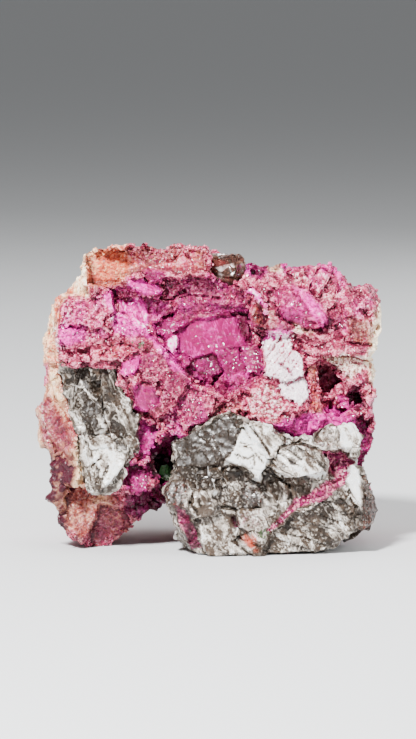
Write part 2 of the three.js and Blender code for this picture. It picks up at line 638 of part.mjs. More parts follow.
// An outline moved outwards by a distance, corner by corner
function widened(outline, distance) {
  const turning = THREE.ShapeUtils.area(outline.map(([x, y]) => new THREE.Vector2(x, y))) > 0 ? 1 : -1;
  return outline.map(([x, y], i) => {
    const before = outline[(i + outline.length - 1) % outline.length];
    const after = outline[(i + 1) % outline.length];
    const along = new THREE.Vector2(after[0] - before[0], after[1] - before[1]).normalize();
    return [x + along.y * distance * turning, y - along.x * distance * turning];
  });
}

// A cleavage rhomb of calcite: a box sheared towards the rhomb's angle, then turned and put in place
function rhomb({ place, size, turn }) {
  const rhombShear = 0.27;
  const geometry = new THREE.BoxGeometry(size[0], size[2], size[1]);
  geometry.applyMatrix4(new THREE.Matrix4().makeShear(rhombShear, rhombShear, 0, rhombShear, 0, 0));
  const [aboutX, aboutUp, aboutDepth] = turn.map(THREE.MathUtils.degToRad);
  const turned = new THREE.Euler(aboutX, aboutDepth, aboutUp);
  geometry.applyMatrix4(new THREE.Matrix4().makeRotationFromEuler(turned));
  geometry.translate(place[0], place[2], place[1]);
  return solidOf(geometry);
}

function ellipsoid({ place, radii }, detail) {
  const geometry = new THREE.IcosahedronGeometry(1, detail);
  geometry.scale(radii[0], radii[2], radii[1]).translate(place[0], place[2], place[1]);
  return solidOf(geometry);
}

const largestBody = (solid) => solid.decompose().sort((a, b) => b.volume() - a.volume())[0];

// What of a solid lies behind the contact planes, each moved outwards by a distance
function cutAtContact(solid, contact, outwards) {
  let kept = solid;
  for (const { through, facing } of contact) {
    const out = new THREE.Vector3(facing[0], facing[2], facing[1]).normalize();
    const geometry = new THREE.BoxGeometry(200, 200, 100).translate(0, 0, 50 + outwards);
    geometry.applyQuaternion(new THREE.Quaternion().setFromUnitVectors(new THREE.Vector3(0, 0, 1), out));
    geometry.translate(through[0], through[2], through[1]);
    kept = kept.subtract(solidOf(geometry));
  }
  return kept;
}

// The room that a mass takes up in the block, with a gap round it
const seatOf = (outline, contact) => cutAtContact(prism(widened(outline, gap), -8, 30), contact, gap);

// A mass let into the block: its own faceted surface inside its outline and its contact planes
function massIn(field, low, high, outline, contact) {
  const block = fieldSolid(field, low, high, cell);
  return largestBody(cutAtContact(block.intersect(prism(outline, -7, 29)), contact, 0));
}

// The pink block, with its crystals, a seat for each mass let into it and the hollow
function pinkBlock(seats, hollowSpace) {
  const low = [-faceWidth / 2 - 4, -3, -3];
  const high = [faceWidth / 2 + 4, blockDepth + 4, faceHeight + 3];
  let block = fieldSolid(pinkField, low, high, cell);
  for (const crystal of crystals) block = block.add(rhomb(crystal));
  block = block.subtract(hollowSpace);
  for (const seat of seats) block = block.subtract(seat);
  return largestBody(block);
}

// The crust of small rhombs that lines the hollow: rings of them round its wall, on a bowl a little inside it
function hollowCrust(seat) {
  const { middle, radii, crust } = hollow;
  const inset = (distance) => ({ place: middle, radii: radii.map((radius) => radius - distance) });
  const room = ellipsoid(inset(gap), 1);
  let lining = room.subtract(ellipsoid(inset(gap + crust * 0.6), 1));
  const rings = 3;
  for (let ring = 0; ring < rings; ring++) {
    const tilt = 0.5 + (ring * 1.3) / rings;
    const around = 3 + ring;
    for (let i = 0; i < around; i++) {
      const turn = ((i + 0.37 * ring) / around) * 2 * Math.PI;
      const direction = [Math.cos(turn) * Math.sin(tilt), Math.sin(turn) * Math.sin(tilt), Math.cos(tilt)];
      const place = direction.map((share, axis) => middle[axis] + share * (radii[axis] - gap) * 0.82);
      const size = [0, 1, 2].map((axis) => crust * (1.1 + 0.8 * cellNoise(ring, i, axis, 7)));
      lining = lining.add(rhomb({ place, size, turn: [60 * ring + 40 * i, 35 * i, 25 * ring + 50 * i] }));
    }
  }
  const mouth = { through: [middle[0], middle[1], middle[2] - 3.4], facing: [0, 0, -1] };
  return largestBody(cutAtContact(lining.intersect(room), [mouth], 0).subtract(seat));
}

const greyRightOutline = [...greyRightSeam, ...greyRightReach];
const greyRightSeat = seatOf(greyRightOutline, greyRightContact);
const greyLeftSeat = seatOf(greyLeftOutline, greyLeftContact);
const clearCrystalSeat = seatOf(clearCrystalOutline, clearCrystalContact);
const hollowSpace = ellipsoid({ place: hollow.middle, radii: hollow.radii }, 2);

const solids = {
  pink_calcite: [pinkBlock([greyRightSeat, greyLeftSeat, clearCrystalSeat], hollowSpace), pinkLook],
  grey_calcite_right: [
    massIn(greyRightField, [-10, -3, -4], [29, 22, 25], greyRightOutline, greyRightContact),
    greyLook,
  ],
  grey_calcite_left: [
    massIn(greyLeftField, [-25, 0, 8], [-8, 16, 33], greyLeftOutline, greyLeftContact),
    greyLook,
  ],
  clear_crystal: [
    massIn(clearCrystalField, [-3, 2, 39], [9, 18, 51], clearCrystalOutline, clearCrystalContact),
    greyLook,
  ],
  hollow_crust: [hollowCrust(greyRightSeat), crustLook],
  green_crystal: [ellipsoid(greenCrystal, 1), greenLook],
};

// Leans a solid back and trims what would lie below the ground
function standing(solid) {
  const mesh = solid.getMesh();
  const geometry = new THREE.BufferGeometry();
  geometry.setAttribute("position", new THREE.BufferAttribute(new Float32Array(mesh.vertProperties), 3));
  geometry.setIndex(new THREE.BufferAttribute(new Uint32Array(mesh.triVerts), 1));
  geometry.translate(0, 0, -groundLevel).rotateX(-lean);
  const underGround = new THREE.BoxGeometry(200, 200, 50).translate(0, 0, -25);
  const trimmed = largestBody(solidOf(geometry).subtract(solidOf(underGround))).getMesh();
  const stood = new THREE.BufferGeometry();
  stood.setAttribute("position", new THREE.BufferAttribute(new Float32Array(trimmed.vertProperties), 3));
  stood.setIndex(new THREE.BufferAttribute(new Uint32Array(trimmed.triVerts), 1));
  return stood;
}

const specimen = new THREE.Group();
for (const [name, [solid, look]] of Object.entries(solids)) {
  const mesh = new THREE.Mesh(standing(solid), look);
  mesh.name = name;
  specimen.add(mesh);
}

// The origin is on the ground, below the middle of the specimen
const middle = new THREE.Box3().setFromObject(specimen).getCenter(new THREE.Vector3());
specimen.children.forEach((mesh) => mesh.position.set(-middle.x, -middle.y, 0));

export default specimen;
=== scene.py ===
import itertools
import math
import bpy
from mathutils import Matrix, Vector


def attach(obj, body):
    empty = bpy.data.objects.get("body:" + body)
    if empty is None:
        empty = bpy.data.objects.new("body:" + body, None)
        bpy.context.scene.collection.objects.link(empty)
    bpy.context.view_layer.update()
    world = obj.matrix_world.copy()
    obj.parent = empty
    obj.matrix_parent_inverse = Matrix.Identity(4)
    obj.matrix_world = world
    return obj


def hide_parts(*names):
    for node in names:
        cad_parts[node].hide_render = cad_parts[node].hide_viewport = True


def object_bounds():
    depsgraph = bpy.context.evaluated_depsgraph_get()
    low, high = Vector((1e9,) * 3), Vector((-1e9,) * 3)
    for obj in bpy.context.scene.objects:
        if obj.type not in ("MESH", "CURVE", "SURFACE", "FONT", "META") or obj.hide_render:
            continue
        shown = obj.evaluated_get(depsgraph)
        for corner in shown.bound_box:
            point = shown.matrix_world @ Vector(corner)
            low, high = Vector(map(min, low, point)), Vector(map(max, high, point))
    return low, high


bl_info = {
    "name": "Cobaltoan Calcite Specimen",
    "version": (1, 0, 0),
    "blender": (4, 5, 0),
    "location": "View3D > Sidebar > Calcite",
    "description": "Dresses the calcite specimen's frame with crystals, grains and finishes",
    "category": "Mesh",
}

import bmesh
import bpy
import numpy as np
from bpy.props import FloatProperty, FloatVectorProperty, IntProperty, PointerProperty
from mathutils import Matrix, Vector

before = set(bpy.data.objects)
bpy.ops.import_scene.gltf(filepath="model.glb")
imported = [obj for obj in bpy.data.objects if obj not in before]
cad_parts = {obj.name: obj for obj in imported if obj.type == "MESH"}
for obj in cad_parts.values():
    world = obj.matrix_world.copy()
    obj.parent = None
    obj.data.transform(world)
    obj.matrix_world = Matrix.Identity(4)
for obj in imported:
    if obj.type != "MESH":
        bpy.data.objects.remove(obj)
cad_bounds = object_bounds()

MM = 0.001

# The specimen's face is drawn flat, in millimetres: x to the right, up along the face, and depth away from
# the viewer. It leans back on the ground, and these place it in the frame.
LEAN = math.radians(6)
GROUND_ON_FACE = 0.35
FACE_SHIFT = np.array((0.164, 19.597, 0.0))

# What counts as the front: it fades out this far behind the nearest point and this deep in the block, and the
# top of the block is seen further back
FRONT_BEHIND = (4.5, 9)
FRONT_DEPTH = (17, 23)
TOP_HEIGHTS = (42, 45)
TOP_REACH = 7
DEPTH_MAP_MIDDLE = 120  # half-millimetre squares from the middle of the depth map to its edge

# Edges of a cleavage rhomb of calcite, whose corners are 102 degrees
RHOMB_SKEW = -0.112
RHOMB = np.full((3, 3), RHOMB_SKEW) + np.eye(3) * (1 - RHOMB_SKEW)
RHOMB_CORNERS = 8

# Crystals that the surfaces are cleaved into: size, height of a step, half width of a riser in steps, how far
# the surface is drawn onto them, and how much of that a flat face is spared. The shape settings give the pink
# ones their size and step, and grit and vein say how far a surface is drawn onto the grey grains.
PINK_BLOCKS = (0.08, 0.5, 0.85)
PINK_CHIPS = (0.08, 0.36, 0.75)
PINK_GRAINS = (0.1, 0.55, 1)
GREY_BLOCKS = (7.5, 2.0, 0.16, 0.6, 0.85)
GREY_CHIPS = (2.8, 0.8, 0.16, 0.5, 0.8)
GREY_GRAINS = (1.3, 0.45, 0.16)
CLEAR_BLOCKS = (3.4, 1.1, 0.16, 0.6, 0.9)
CLEAR_CHIPS = (1.1, 0.35, 0.16, 0.3, 0.5)
LINING_CRYSTALS = (1.6, 0.7, 0.16, 0.6, 0)
GREEN_FACETS = (1.9, 1.5, 0.16, 0.85, 0)
CHIP_STEP = 0.3  # height of a step as a share of a chip's size
GRAIN_STEP = 0.32

# Loose crystals: smallest edge, how much longer an edge can be, how rare long ones are, and how deep they
# sit, as a share of the edge and in millimetres
LOOSE_GRAINS = (0.22, 0.3, 2, 0.45, 0)
HOLLOW_CRYSTALS = (0.35, 0.55, 1, 0, 0)
GREEN_SPECKS = (0.18, 0.3, 1, 0, 0.1)
SPECKS_IN_CLUSTER = 11

# Clusters of green specks: x, up and reach
SPECKS_ON_RIDGE = ((-10.4, 33.0, 0.45),)
SPECKS_ON_GREY = ((8.4, 4.2, 0.4), (9.0, 4.6, 0.3))

# Painted light from a surface's relief, and its grain tone: size of a grain, share and depth of the painted
# shade in the fine hollows, share, start and depth of that in the broad ones, and height of an edge that is
# painted lighter
PINK_TONE_AND_PAINTED_LIGHT = (0.65, 0.55, 0.07, 0.45, 0.04, 0.3, 0.09)
GREY_TONE_AND_PAINTED_LIGHT = (0.8, 0.5, 0.06, 0.7, 0.03, 0.25, 0.07)
FINE_ROUNDS = 2  # times that a surface is smoothed to tell its fine hollows
BROAD_ROUNDS = 16
REAR_SMOOTH = 0.45  # how unbroken the unseen sides are
RIND_SMOOTH = 0.55  # and the weathered rind at least

# Unevenness of drawn borders: height and size of each wave, and its channels across and up
BORDER_WAVES = ((0.3, 1.5, 11, 13), (0.15, 0.6, 12, 14))
PLANE_WAVES = ((0.3, 2.2, 19, 20), (0.12, 0.7, 15, 16))
LINE_WAVES = ((0.15, 0.9, 17, 18),)
PLANE_EDGE = 0.45  # widest border of a plane
STRIAE_EDGE = 0.4

SEAT_DEPTH = 19  # of the walls that the grey masses cover
LIP_REACH = 1.8  # how far from a seat's border the rock's edge is uneven
GRAIN_GROOVE = 0.07
GRAIN_GROOVE_WIDTH = 0.3
GREY_SWELL = 0.16  # narrows the gap between a grey mass and the pink rock
VEIN_DEPTH = 0.35

# Ripples at the tip of the bright kite: their middle, the outline that holds them, spacing and height
RIPPLE_MIDDLE = (8.8, 16.9)
RIPPLE_OUTLINE = [(4.8, 14.8), (7.4, 15.2), (9.2, 13.6), (8.4, 11.2), (6.2, 12)]
RIPPLE_SPACING = 0.75
RIPPLE_HEIGHT = 0.16

CLEAR_GRID = 0.2 * MM
CLEAR_SWELL = 0.2
CLEAR_FOOT = (44.0, 42.9)  # between these heights the clear crystal draws back
CLEAR_FOOT_BACK = 2.6
CLEAR_TOP = 47.5
CLEAR_ABOVE_TOP = 0.15  # what is left of its height above that

LINING_GRID = 0.3 * MM
LINING_GRAIN = 0.7
GREEN_GRID = 0.12 * MM
GREEN_FOOT_PALENESS = 0.45
SPECK_PALENESS = 0.35

MERGE_DISTANCE = 1e-7
CRUMB = 60  # vertices: a loose bit with fewer is dropped
SPARE_LEVELS = 10

# Soft lights: name, place from the specimen's middle, width and which power they take
LIGHTS = (
    ("Key light", (-0.14, -0.34, 0.36), 0.08, "key_power"),
    ("Fill light", (0.42, -0.20, 0.24), 0.30, "fill_power"),
    ("Top light", (-0.05, 0.10, 0.50), 0.45, "top_power"),
    ("Rear light", (0.30, 0.40, 0.25), 0.40, "fill_power"),
)
SKY_COLOUR = (0.88, 0.89, 0.90, 1)
SKY_STRENGTH = 0.31
FLOOR_COLOUR = (0.62, 0.63, 0.64, 1)
FLOOR_RADIUS = 60.0
SENSOR_HEIGHT = 24
FACE_AHEAD = 6 * MM  # from the specimen's middle to its face


def length_setting(name, description, millimetres):
    return FloatProperty(name=name, description=description, default=millimetres * MM, unit="LENGTH")


def count_setting(name, description, default):
    return IntProperty(name=name, description=description, default=default)


def power_setting(name, description, watts):
    return FloatProperty(name=name, description=description, default=watts, unit="POWER")


def colour_setting(name, description, *channels):
    return FloatVectorProperty(name=name, description=description, subtype="COLOR", default=channels)


class SpecimenShape(bpy.types.PropertyGroup):
    fine_grid: length_setting("Fine Grid", "Grid on which the rock's surface is rebuilt", 0.27)
    grey_grid: length_setting("Grey Grid", "Grid for the grey masses", 0.24)
    block_size: length_setting("Block Size", "Size of one crystal of the pink rock", 6.5)
    block_step: length_setting("Block Step", "Height of a crystal's cleavage steps", 2.1)
    chip_size: length_setting("Chip Size", "Size of the smaller blocks", 2.8)
    grain_size: length_setting("Grain Size", "Size of a sugary grain", 0.75)
    rock_triangles: count_setting("Rock Triangles", "Most triangles in the rock", 188000)
    grey_triangles: count_setting("Grey Triangles", "Most triangles in a grey mass", 130000)
    loose_grains: count_setting("Loose Grains", "Rhombs grown on the rock", 12000)
    druse_crystals: count_setting("Druse Crystals", "Crystals lining the hollow", 1500)


class SpecimenColours(bpy.types.PropertyGroup):
    dusty_pink: colour_setting("Dusty Pink", "Sugary calcite", 0.40, 0.030, 0.095)
    coral: colour_setting("Coral", "Stained sugary calcite", 0.46, 0.06, 0.045)
    pale_pink: colour_setting("Pale Pink", "Lit grains", 0.95, 0.31, 0.41)
    crimson: colour_setting("Crimson", "Shadowed grains", 0.10, 0.010, 0.020)
    magenta: colour_setting("Magenta", "Clean crystals", 0.29, 0.004, 0.100)
    bright_magenta: colour_setting("Bright Magenta", "Lit clean crystals", 1.0, 0.035, 0.53)
    # Wine is also the colour of painted shade, in hollows and on dim grains of clean crystal
    wine: colour_setting("Wine", "Crystals in hollows", 0.05, 0.004, 0.012)
    silver: colour_setting("Silver", "Bleached cleavage", 0.88, 0.75, 0.80)
    cream: colour_setting("Cream", "Weathered rind", 1.0, 0.63, 0.33)
    tan: colour_setting("Tan", "Iron stain of the rind", 0.64, 0.10, 0.04)
    ivory: colour_setting("Ivory", "Bleached rind", 1.0, 0.84, 0.63)
    # Smoke is also the colour of painted shade, in the hollows of the grey masses and in their shadowed
    # regions
    smoke: colour_setting("Smoke", "Clear grey calcite", 0.022, 0.014, 0.009)
    ash: colour_setting("Ash", "Veiled grey calcite", 0.105, 0.070, 0.048)
    frost: colour_setting("Frost", "White veils", 0.94, 0.84, 0.73)
    white: colour_setting("White", "Thickest white veils", 0.95, 0.96, 0.95)
    brown: colour_setting("Brown", "Clear brownish crystal", 0.60, 0.33, 0.25)
    green: colour_setting("Green", "Green crystals", 0.014, 0.036, 0.012)
    pale_green: colour_setting("Pale Green", "Paler ends of green crystals", 0.30, 0.37, 0.20)


class StudioSettings(bpy.types.PropertyGroup):
    distance: length_setting("Camera Distance", "Camera to specimen", 600)
    elevation: FloatProperty(
        name="Camera Elevation", description="How far the camera looks down", default=LEAN, subtype="ANGLE"
    )
    raise_by: length_setting("Raise View", "Aims above the specimen's middle", 3.3)
    frame_height: length_setting("Frame Height", "Height seen at the specimen's face", 115.5)
    key_power: power_setting("Key Power", "Main light", 10.0)
    fill_power: power_setting("Fill Power", "Soft lights from the right and from behind", 1.5)
    top_power: power_setting("Top Power", "Soft light from above", 2.2)


# Regions of the pink face, in painter's order: name, width of the border, what the crystal is like there, its
# plane and its outline on the face. magenta is clean crystal, rind is weathered, pale is bleached, and the
# dark trait, wine, is dark red crystal and also painted shade where the rock lies in shadow, such as the
# shadowed side of the recess, the shadow shelf and the pits; smooth is unbroken cleavage, and what a region
# leaves out stays as it was. A plane says how far it stands out, and how steeply it faces right and up.
PINK_REGIONS = (
    ("left flank", 2.5, {"rind": 0.95, "pale": 0.5, "magenta": 0.05, "wine": 0.05, "smooth": 0.45}, None,
     [(-30, 31), (-22.9, 31), (-21.2, 23.2), (-19.4, 15.1), (-19.4, 10), (-24, 2), (-30, 4)]),
    ("lilac patch of the flank", 2.5,
     {"rind": 0.45, "magenta": 0.35, "pale": 0.25, "smooth": 0.45, "wine": 0.66}, None,
     [(-27, 24.8), (-24.2, 25.8), (-22.9, 23.1), (-21, 20.3), (-20, 17.9), (-21.4, 15.4), (-25, 15.4),
      (-26.8, 20.1)]),
    ("brown foot of the flank", 2, {"rind": 0.7, "wine": 1.4, "pale": 0.1, "smooth": 0.45, "magenta": 0.0},
     None, [(-26, 16.6), (-20.6, 16), (-19.9, 10.6), (-20.6, 5), (-26, 4)]),
    ("lilac bumps of the flank", 0.9, {"rind": 0.3, "magenta": 0.5, "pale": 0.2}, None,
     [(-28, 30.4), (-24.6, 30.6), (-24.4, 27.4), (-26, 25.6), (-28, 25.6)]),
    ("salmon rod", 0.8, {"rind": 0.9, "pale": 0.7, "wine": -0.2, "magenta": 0.1, "smooth": 0.6},
     (0.9, 0.3, 0.1), [(-20.1, 18.6), (-19.1, 18.2), (-18.9, 10.6), (-19.9, 10.4)]),
    ("upper left flank", 1.2, {"rind": 0.95, "pale": 0.35, "magenta": 0.05, "wine": 0, "smooth": 0.45}, None,
     [(-30, 48), (-19, 47), (-19, 42.4), (-17.8, 40.6), (-23, 40.2), (-23.6, 35.8), (-23, 31), (-30, 30)]),
    ("brown streak of the flank", 0.9, {"rind": 0.7, "pale": 0, "wine": 0.25, "magenta": 0.15}, None,
     [(-24.4, 41.4), (-22.2, 41.9), (-18.4, 41.6), (-18.8, 40.5), (-22, 40.4), (-22.4, 37.4), (-23.8, 36)]),
    ("top ledge", 1, {"rind": 0.38, "magenta": 0.3, "wine": 0.1, "pale": 0.18, "smooth": 0.3},
     (0.5, 0.0, 0.12),
     [(-18.2, 48.2), (-0.4, 48.2), (0.2, 44.6), (-4, 44), (-9.7, 44.6), (-12.6, 43.6), (-15.4, 42.4),
      (-18.1, 42.6)]),
    ("orange end of the ledge", 2, {"rind": 1.1, "magenta": 0.05, "wine": 0.15, "pale": -0.15, "smooth": 0.3},
     (0.2, -0.1, 0.1), [(-18.7, 47.8), (-13.4, 48.2), (-12, 45.6), (-13.6, 42.8), (-18.4, 42.4)]),
    ("cream rim of the ledge", 0.9, {"rind": 0.8, "pale": 0.45, "magenta": 0.0, "wine": 0, "smooth": 0.7},
     None,
     [(-21, 51), (-12, 51), (-12.4, 48.4), (-17, 48.2), (-18.8, 46.9), (-18.9, 42.2), (-19.6, 41),
      (-21, 42)]),
    ("brown hollow of the ledge", 1, {"rind": 0.35, "wine": 0.5, "magenta": 0.1}, (-0.6, 0.0, 0.3),
     [(-10.4, 48.6), (-3.8, 48.6), (-4.6, 46.1), (-9.2, 45.7)]),
    ("red blocks of the ledge", 0.8, {"rind": 0.0, "wine": 0.28, "magenta": 0.6, "pale": -0.1},
     (0.5, 0.15, -0.1), [(-9.9, 44.9), (-8, 45), (-5.5, 44.4), (-6.6, 42.9), (-8.6, 42.9)]),
    ("upper wall", 1, {"magenta": 0.5, "rind": 0.0, "wine": 0.36}, (-0.1, 0.0, -0.1),
     [(-6.4, 43.4), (0, 44), (4.4, 42.4), (6, 41.8), (6.2, 39.4), (0.4, 39.4), (-6, 40)]),
    ("magenta foot of the wall", 0.7, {"magenta": 0.7, "wine": 0.32, "smooth": 0.1}, (0.9, 0.1, -0.4),
     [(-4.6, 39.8), (0.4, 39.7), (6, 39.3), (6.2, 38), (-0.6, 37.1), (-3.2, 36.4), (-5.2, 37.2)]),
    ("shadow under the ledge", 0.6, {"wine": 0.0, "magenta": 0.5}, (-0.7, 0.0, -0.2),
     [(-15.6, 42.3), (-12.6, 42.2), (-10.6, 41.3), (-9.9, 40.5), (-14, 40.5), (-14.4, 38.6), (-15, 41.3)]),
    ("shard", 0.3, {"magenta": 1.0, "pale": 0.35, "smooth": 0.8, "wine": 0}, (1.6, 0.35, 0.45),
     [(-13, 44.1), (-12.1, 43.6), (-10.8, 43.1), (-10, 43.9), (-9.3, 43), (-7.9, 42.6), (-7.1, 41.3),
      (-7.5, 40.8), (-9.3, 41), (-10.5, 41.5), (-12.1, 42.3)]),
    ("left block", 0.8, {"magenta": 0.42, "pale": 0.32, "rind": 0.1, "wine": 0.03}, (0.4, -0.1, 0.1),
     [(-22, 39.9), (-20.4, 40.8), (-18.4, 40.4), (-16, 41), (-14.4, 38.4), (-15.6, 36.4), (-19, 36),
      (-22.8, 36), (-22, 37.4), (-22.7, 38.8)]),
    ("lilac corner of the block", 0.4, {"magenta": 0.85, "pale": 0.55, "smooth": 0.6}, (0.7, 0.5, 0.2),
     [(-16.1, 41.1), (-14.8, 41.5), (-14.2, 38.5), (-14.9, 38.6), (-15.7, 39.7)]),
    ("lower left block", 0.8, {"magenta": 0.5, "pale": 0.45, "rind": 0.15, "wine": 0}, (0.4, 0.2, -0.05),
     [(-22.6, 35.6), (-19, 35.6), (-15.8, 36), (-14.2, 34.7), (-17.4, 33.2), (-21.6, 32.4), (-22.8, 34)]),
    ("magenta corner of the block", 1.2, {"magenta": 0.9, "pale": 0.5}, None,
     [(-22.6, 36.2), (-19.2, 36), (-18.8, 33.2), (-22.6, 33)]),
    ("recess floor", 0.8, {"magenta": 0.6, "wine": 0.35, "smooth": 0.3, "rind": 0, "pale": 0.0}, None,
     [(-8.8, 40.2), (-6, 38.7), (6.7, 38.3), (7.6, 34), (8.7, 29.1), (6.5, 27.2), (2.4, 25), (-2.4, 27.7),
      (-5.3, 31.7), (-8.3, 35)]),
    ("rose slope of the recess", 0.6, {"magenta": 0.8, "wine": 0.38, "smooth": 0.6, "rind": 0.0, "pale": 0},
     (1.1, -0.2, 0.2), [(-8.6, 37), (-5.2, 37.4), (-3.2, 36.5), (-4.5, 35.4), (-6.2, 34.4), (-8, 35)]),
    ("rose block beside the blade", 0.5,
     {"magenta": 0.5, "wine": 0.0, "smooth": 0.2, "rind": 0.1, "pale": 0.2}, (0.9, -0.1, 0.3),
     [(-9.5, 40.5), (-7.3, 40.2), (-5.4, 39.6), (-6.2, 38.4), (-7, 36.9), (-9.2, 36.8)]),
    ("cleavage face of the recess", 0.35, {"magenta": 1.0, "wine": 0.24, "smooth": 0.9, "pale": -0.05},
     (0.3, 0.02, 0.08),
     [(-4.5, 35.6), (-3.2, 36.4), (-1.2, 37.4), (4.4, 37.8), (5.2, 36), (6, 34), (6.6, 33), (3, 32.6),
      (1.2, 31.5), (-1.8, 31), (-4.4, 31.6)]),
    ("bright top of the face", 1.4, {"pale": 0.04, "wine": 0.1}, None,
     [(-2.6, 36.8), (-0.8, 37.6), (2.4, 37.6), (1.8, 35), (-1.8, 35)]),
    ("lilac foot of the face", 1.2, {"pale": -0.02, "wine": 0.32}, None,
     [(-4.2, 33.6), (-1, 33.8), (-0.6, 31.4), (-4, 31.6)]),
    ("shadowed side of the recess", 0.5, {"wine": 0.95, "magenta": 0.6, "smooth": 0.4}, (0.3, -0.5, 0.0),
     [(4.8, 38.4), (6.5, 38.4), (7, 34.6), (5.8, 34.4)]),
    ("left plate below the face", 0.3, {"magenta": 0.75, "wine": 0.62, "smooth": 0.55, "pale": 0.0},
     (0.2, -0.1, 0.12), [(-2.2, 31.2), (1.3, 31.9), (2.5, 28.7), (0, 27.9), (-2.2, 29.2)]),
    ("middle plate below the face", 0.3, {"magenta": 0.75, "wine": 0.44, "smooth": 0.6, "pale": 0.0},
     (0.4, 0.08, 0.08), [(1.2, 31.9), (3, 33), (5.2, 33.2), (6.3, 28.9), (3.3, 27.6), (2.6, 28.8)]),
    ("right plate below the face", 0.3, {"magenta": 0.7, "wine": 0.65, "smooth": 0.55, "pale": 0.0},
     (0.6, -0.1, 0.15), [(5.3, 33.3), (8.4, 33.2), (8.6, 28.5), (6.7, 28.7)]),
    ("pale edge of the face", 0.2, {"pale": -0.1, "wine": 0.9}, None,
     [(4.1, 37.8), (4.4, 37.8), (5.3, 35.2), (5.1, 35.1)]),
    ("pale edge of the middle plate", 0.25, {"pale": 0.35, "wine": 0}, None,
     [(2.5, 28.9), (3.2, 27.6), (6.5, 28.8), (6.2, 29.4), (3.5, 28.3), (2.9, 29.2)]),
    ("pale edge of the right plate", 0.25, {"pale": 1.2, "wine": 0}, None,
     [(5.3, 31.4), (5.6, 31.5), (6.5, 29.5), (6.2, 29.3)]),
    ("pale plates of the recess", 0.3, {"magenta": 0.9, "pale": 1.0, "smooth": 0.8, "wine": -0.2},
     (0.8, 0.2, 0.3), [(-6.1, 34.2), (-4.5, 34.6), (-4.4, 33), (-5.2, 31.5), (-6.1, 32.5)]),
    ("striated blade", 0.35, {"magenta": 1.0, "smooth": 0.9, "pale": 0.24, "wine": 0}, (0.4, 0.3, 0.15),
     [(-13.7, 40), (-11.2, 40.4), (-10.1, 40.7), (-9.4, 38.5), (-9.1, 36.4), (-10.8, 36.3), (-12.3, 38),
      (-13.6, 38.4)]),
    ("foot of the blade", 0.6, {"magenta": 0.75, "pale": 0.55, "wine": 0}, (0.3, 0.2, 0.3),
     [(-15, 38), (-13.5, 38.4), (-12, 37.6), (-9.2, 36.2), (-8.4, 34.4), (-11.6, 34), (-14.2, 35.2)]),
    ("middle ridge", 1, {"magenta": 0.3, "pale": 0.12, "rind": 0.15, "wine": 0.1}, None,
     [(-23, 32.8), (-14.2, 34.7), (-8.3, 34.7), (-5.3, 31.7), (-2.4, 27.7), (2.4, 25.4), (3.2, 23.2),
      (0.2, 21.2), (-3.1, 18.8), (-6, 19.7), (-8.3, 22.1), (-12.7, 27.7), (-14.2, 29.9), (-22.8, 30.6)]),
    ("salmon slope of the ridge", 0.8, {"rind": 0.3, "magenta": 0.3, "pale": 0.15}, (0.2, 0.0, 0.5),
     [(-17.6, 33), (-12.6, 34), (-10.6, 32.4), (-13.4, 30.8), (-17.4, 30.6)]),
    ("crimson face of the ridge", 0.7, {"magenta": 0.5, "wine": 0.5, "rind": 0.0, "pale": 0}, (0.3, 0.2, 0.1),
     [(-9.9, 31.9), (-6.9, 32.6), (-6, 30.4), (-6.9, 27.4), (-9.9, 27.8), (-10.4, 30.1)]),
    ("edge of the ridge", 0.4, {"magenta": 0.85, "pale": 0.42, "smooth": 0.4, "wine": 0}, None,
     [(-9.5, 36), (-8.7, 35.3), (-6.3, 32.7), (-4.2, 30.4), (-3.7, 29.3), (-4.7, 29.9), (-6.9, 32),
      (-9.1, 34.5)]),
    ("crest of the ridge", 0.6, {"magenta": 0.75, "pale": 0.45}, (0.5, 0.5, 0.4),
     [(-6.9, 32.5), (-3.8, 30.2), (-2.9, 28.4), (-5.8, 29.6)]),
    ("lit face of the ridge", 0.6, {"magenta": 0.5, "pale": 0.0, "wine": 0.45}, (0.6, 0.3, 0.25),
     [(-6.6, 29), (-3.2, 28.6), (-2.4, 27.6), (-4.6, 24.4), (-7, 25)]),
    ("lilac blocks of the ridge", 0.6, {"magenta": 0.5, "pale": 0.15, "wine": 0.35}, (0.4, -0.1, 0.2),
     [(-2.8, 27.2), (1.6, 25.2), (0.2, 21.8), (-3.6, 20), (-4.8, 24)]),
    ("rose blocks of the ridge", 0.6, {"magenta": 0.5, "pale": 0.5, "rind": 0.1}, (0.2, -0.3, -0.1),
     [(-5, 23.6), (-3.8, 20.4), (-4, 18.8), (-6, 19.7), (-7.6, 22)]),
    ("magenta blade of the ridge", 0.4, {"magenta": 1.0, "smooth": 0.9, "pale": 0.2, "wine": 0, "rind": 0},
     (0.5, 0.2, 0.4),
     [(-13.2, 30.4), (-10.4, 31.7), (-10.3, 30.1), (-11.2, 28.6), (-12.7, 28.2), (-13.4, 29)]),
    ("magenta patch of the ridge", 0.6, {"magenta": 1.0, "wine": 0.32, "smooth": 0.8, "pale": 0},
     (0.2, -0.1, -0.15),
     [(-11.2, 26.7), (-8.9, 27.1), (-7.5, 25.1), (-7.5, 23.9), (-9.9, 22.9), (-11.2, 23.5)]),
    ("magenta column", 0.6, {"magenta": 0.9, "wine": 0.22, "smooth": 0.4, "pale": 0.35}, (0.9, 0.2, 0.2),
     [(-10.5, 21.9), (-7.3, 20.5), (-8.3, 18), (-9.9, 15.3), (-11, 16.8), (-10.8, 19.7)]),
    ("block beside the hollow", 0.5, {"magenta": 0.85, "smooth": 0.35, "wine": 0.5, "pale": 0.1},
     (0.6, -0.1, 0.3),
     [(-12.4, 15.4), (-9.1, 14.4), (-8.6, 12.6), (-9.9, 10.4), (-11.5, 9.9), (-13.1, 12.1)]),
    ("small block beside the hollow", 0.5, {"magenta": 0.9, "smooth": 0.5, "wine": 1.4}, (-1.3, 0.1, -0.1),
     [(-8.9, 16), (-6.9, 14.4), (-6.9, 12.6), (-8.4, 12.4), (-9, 14.2)]),
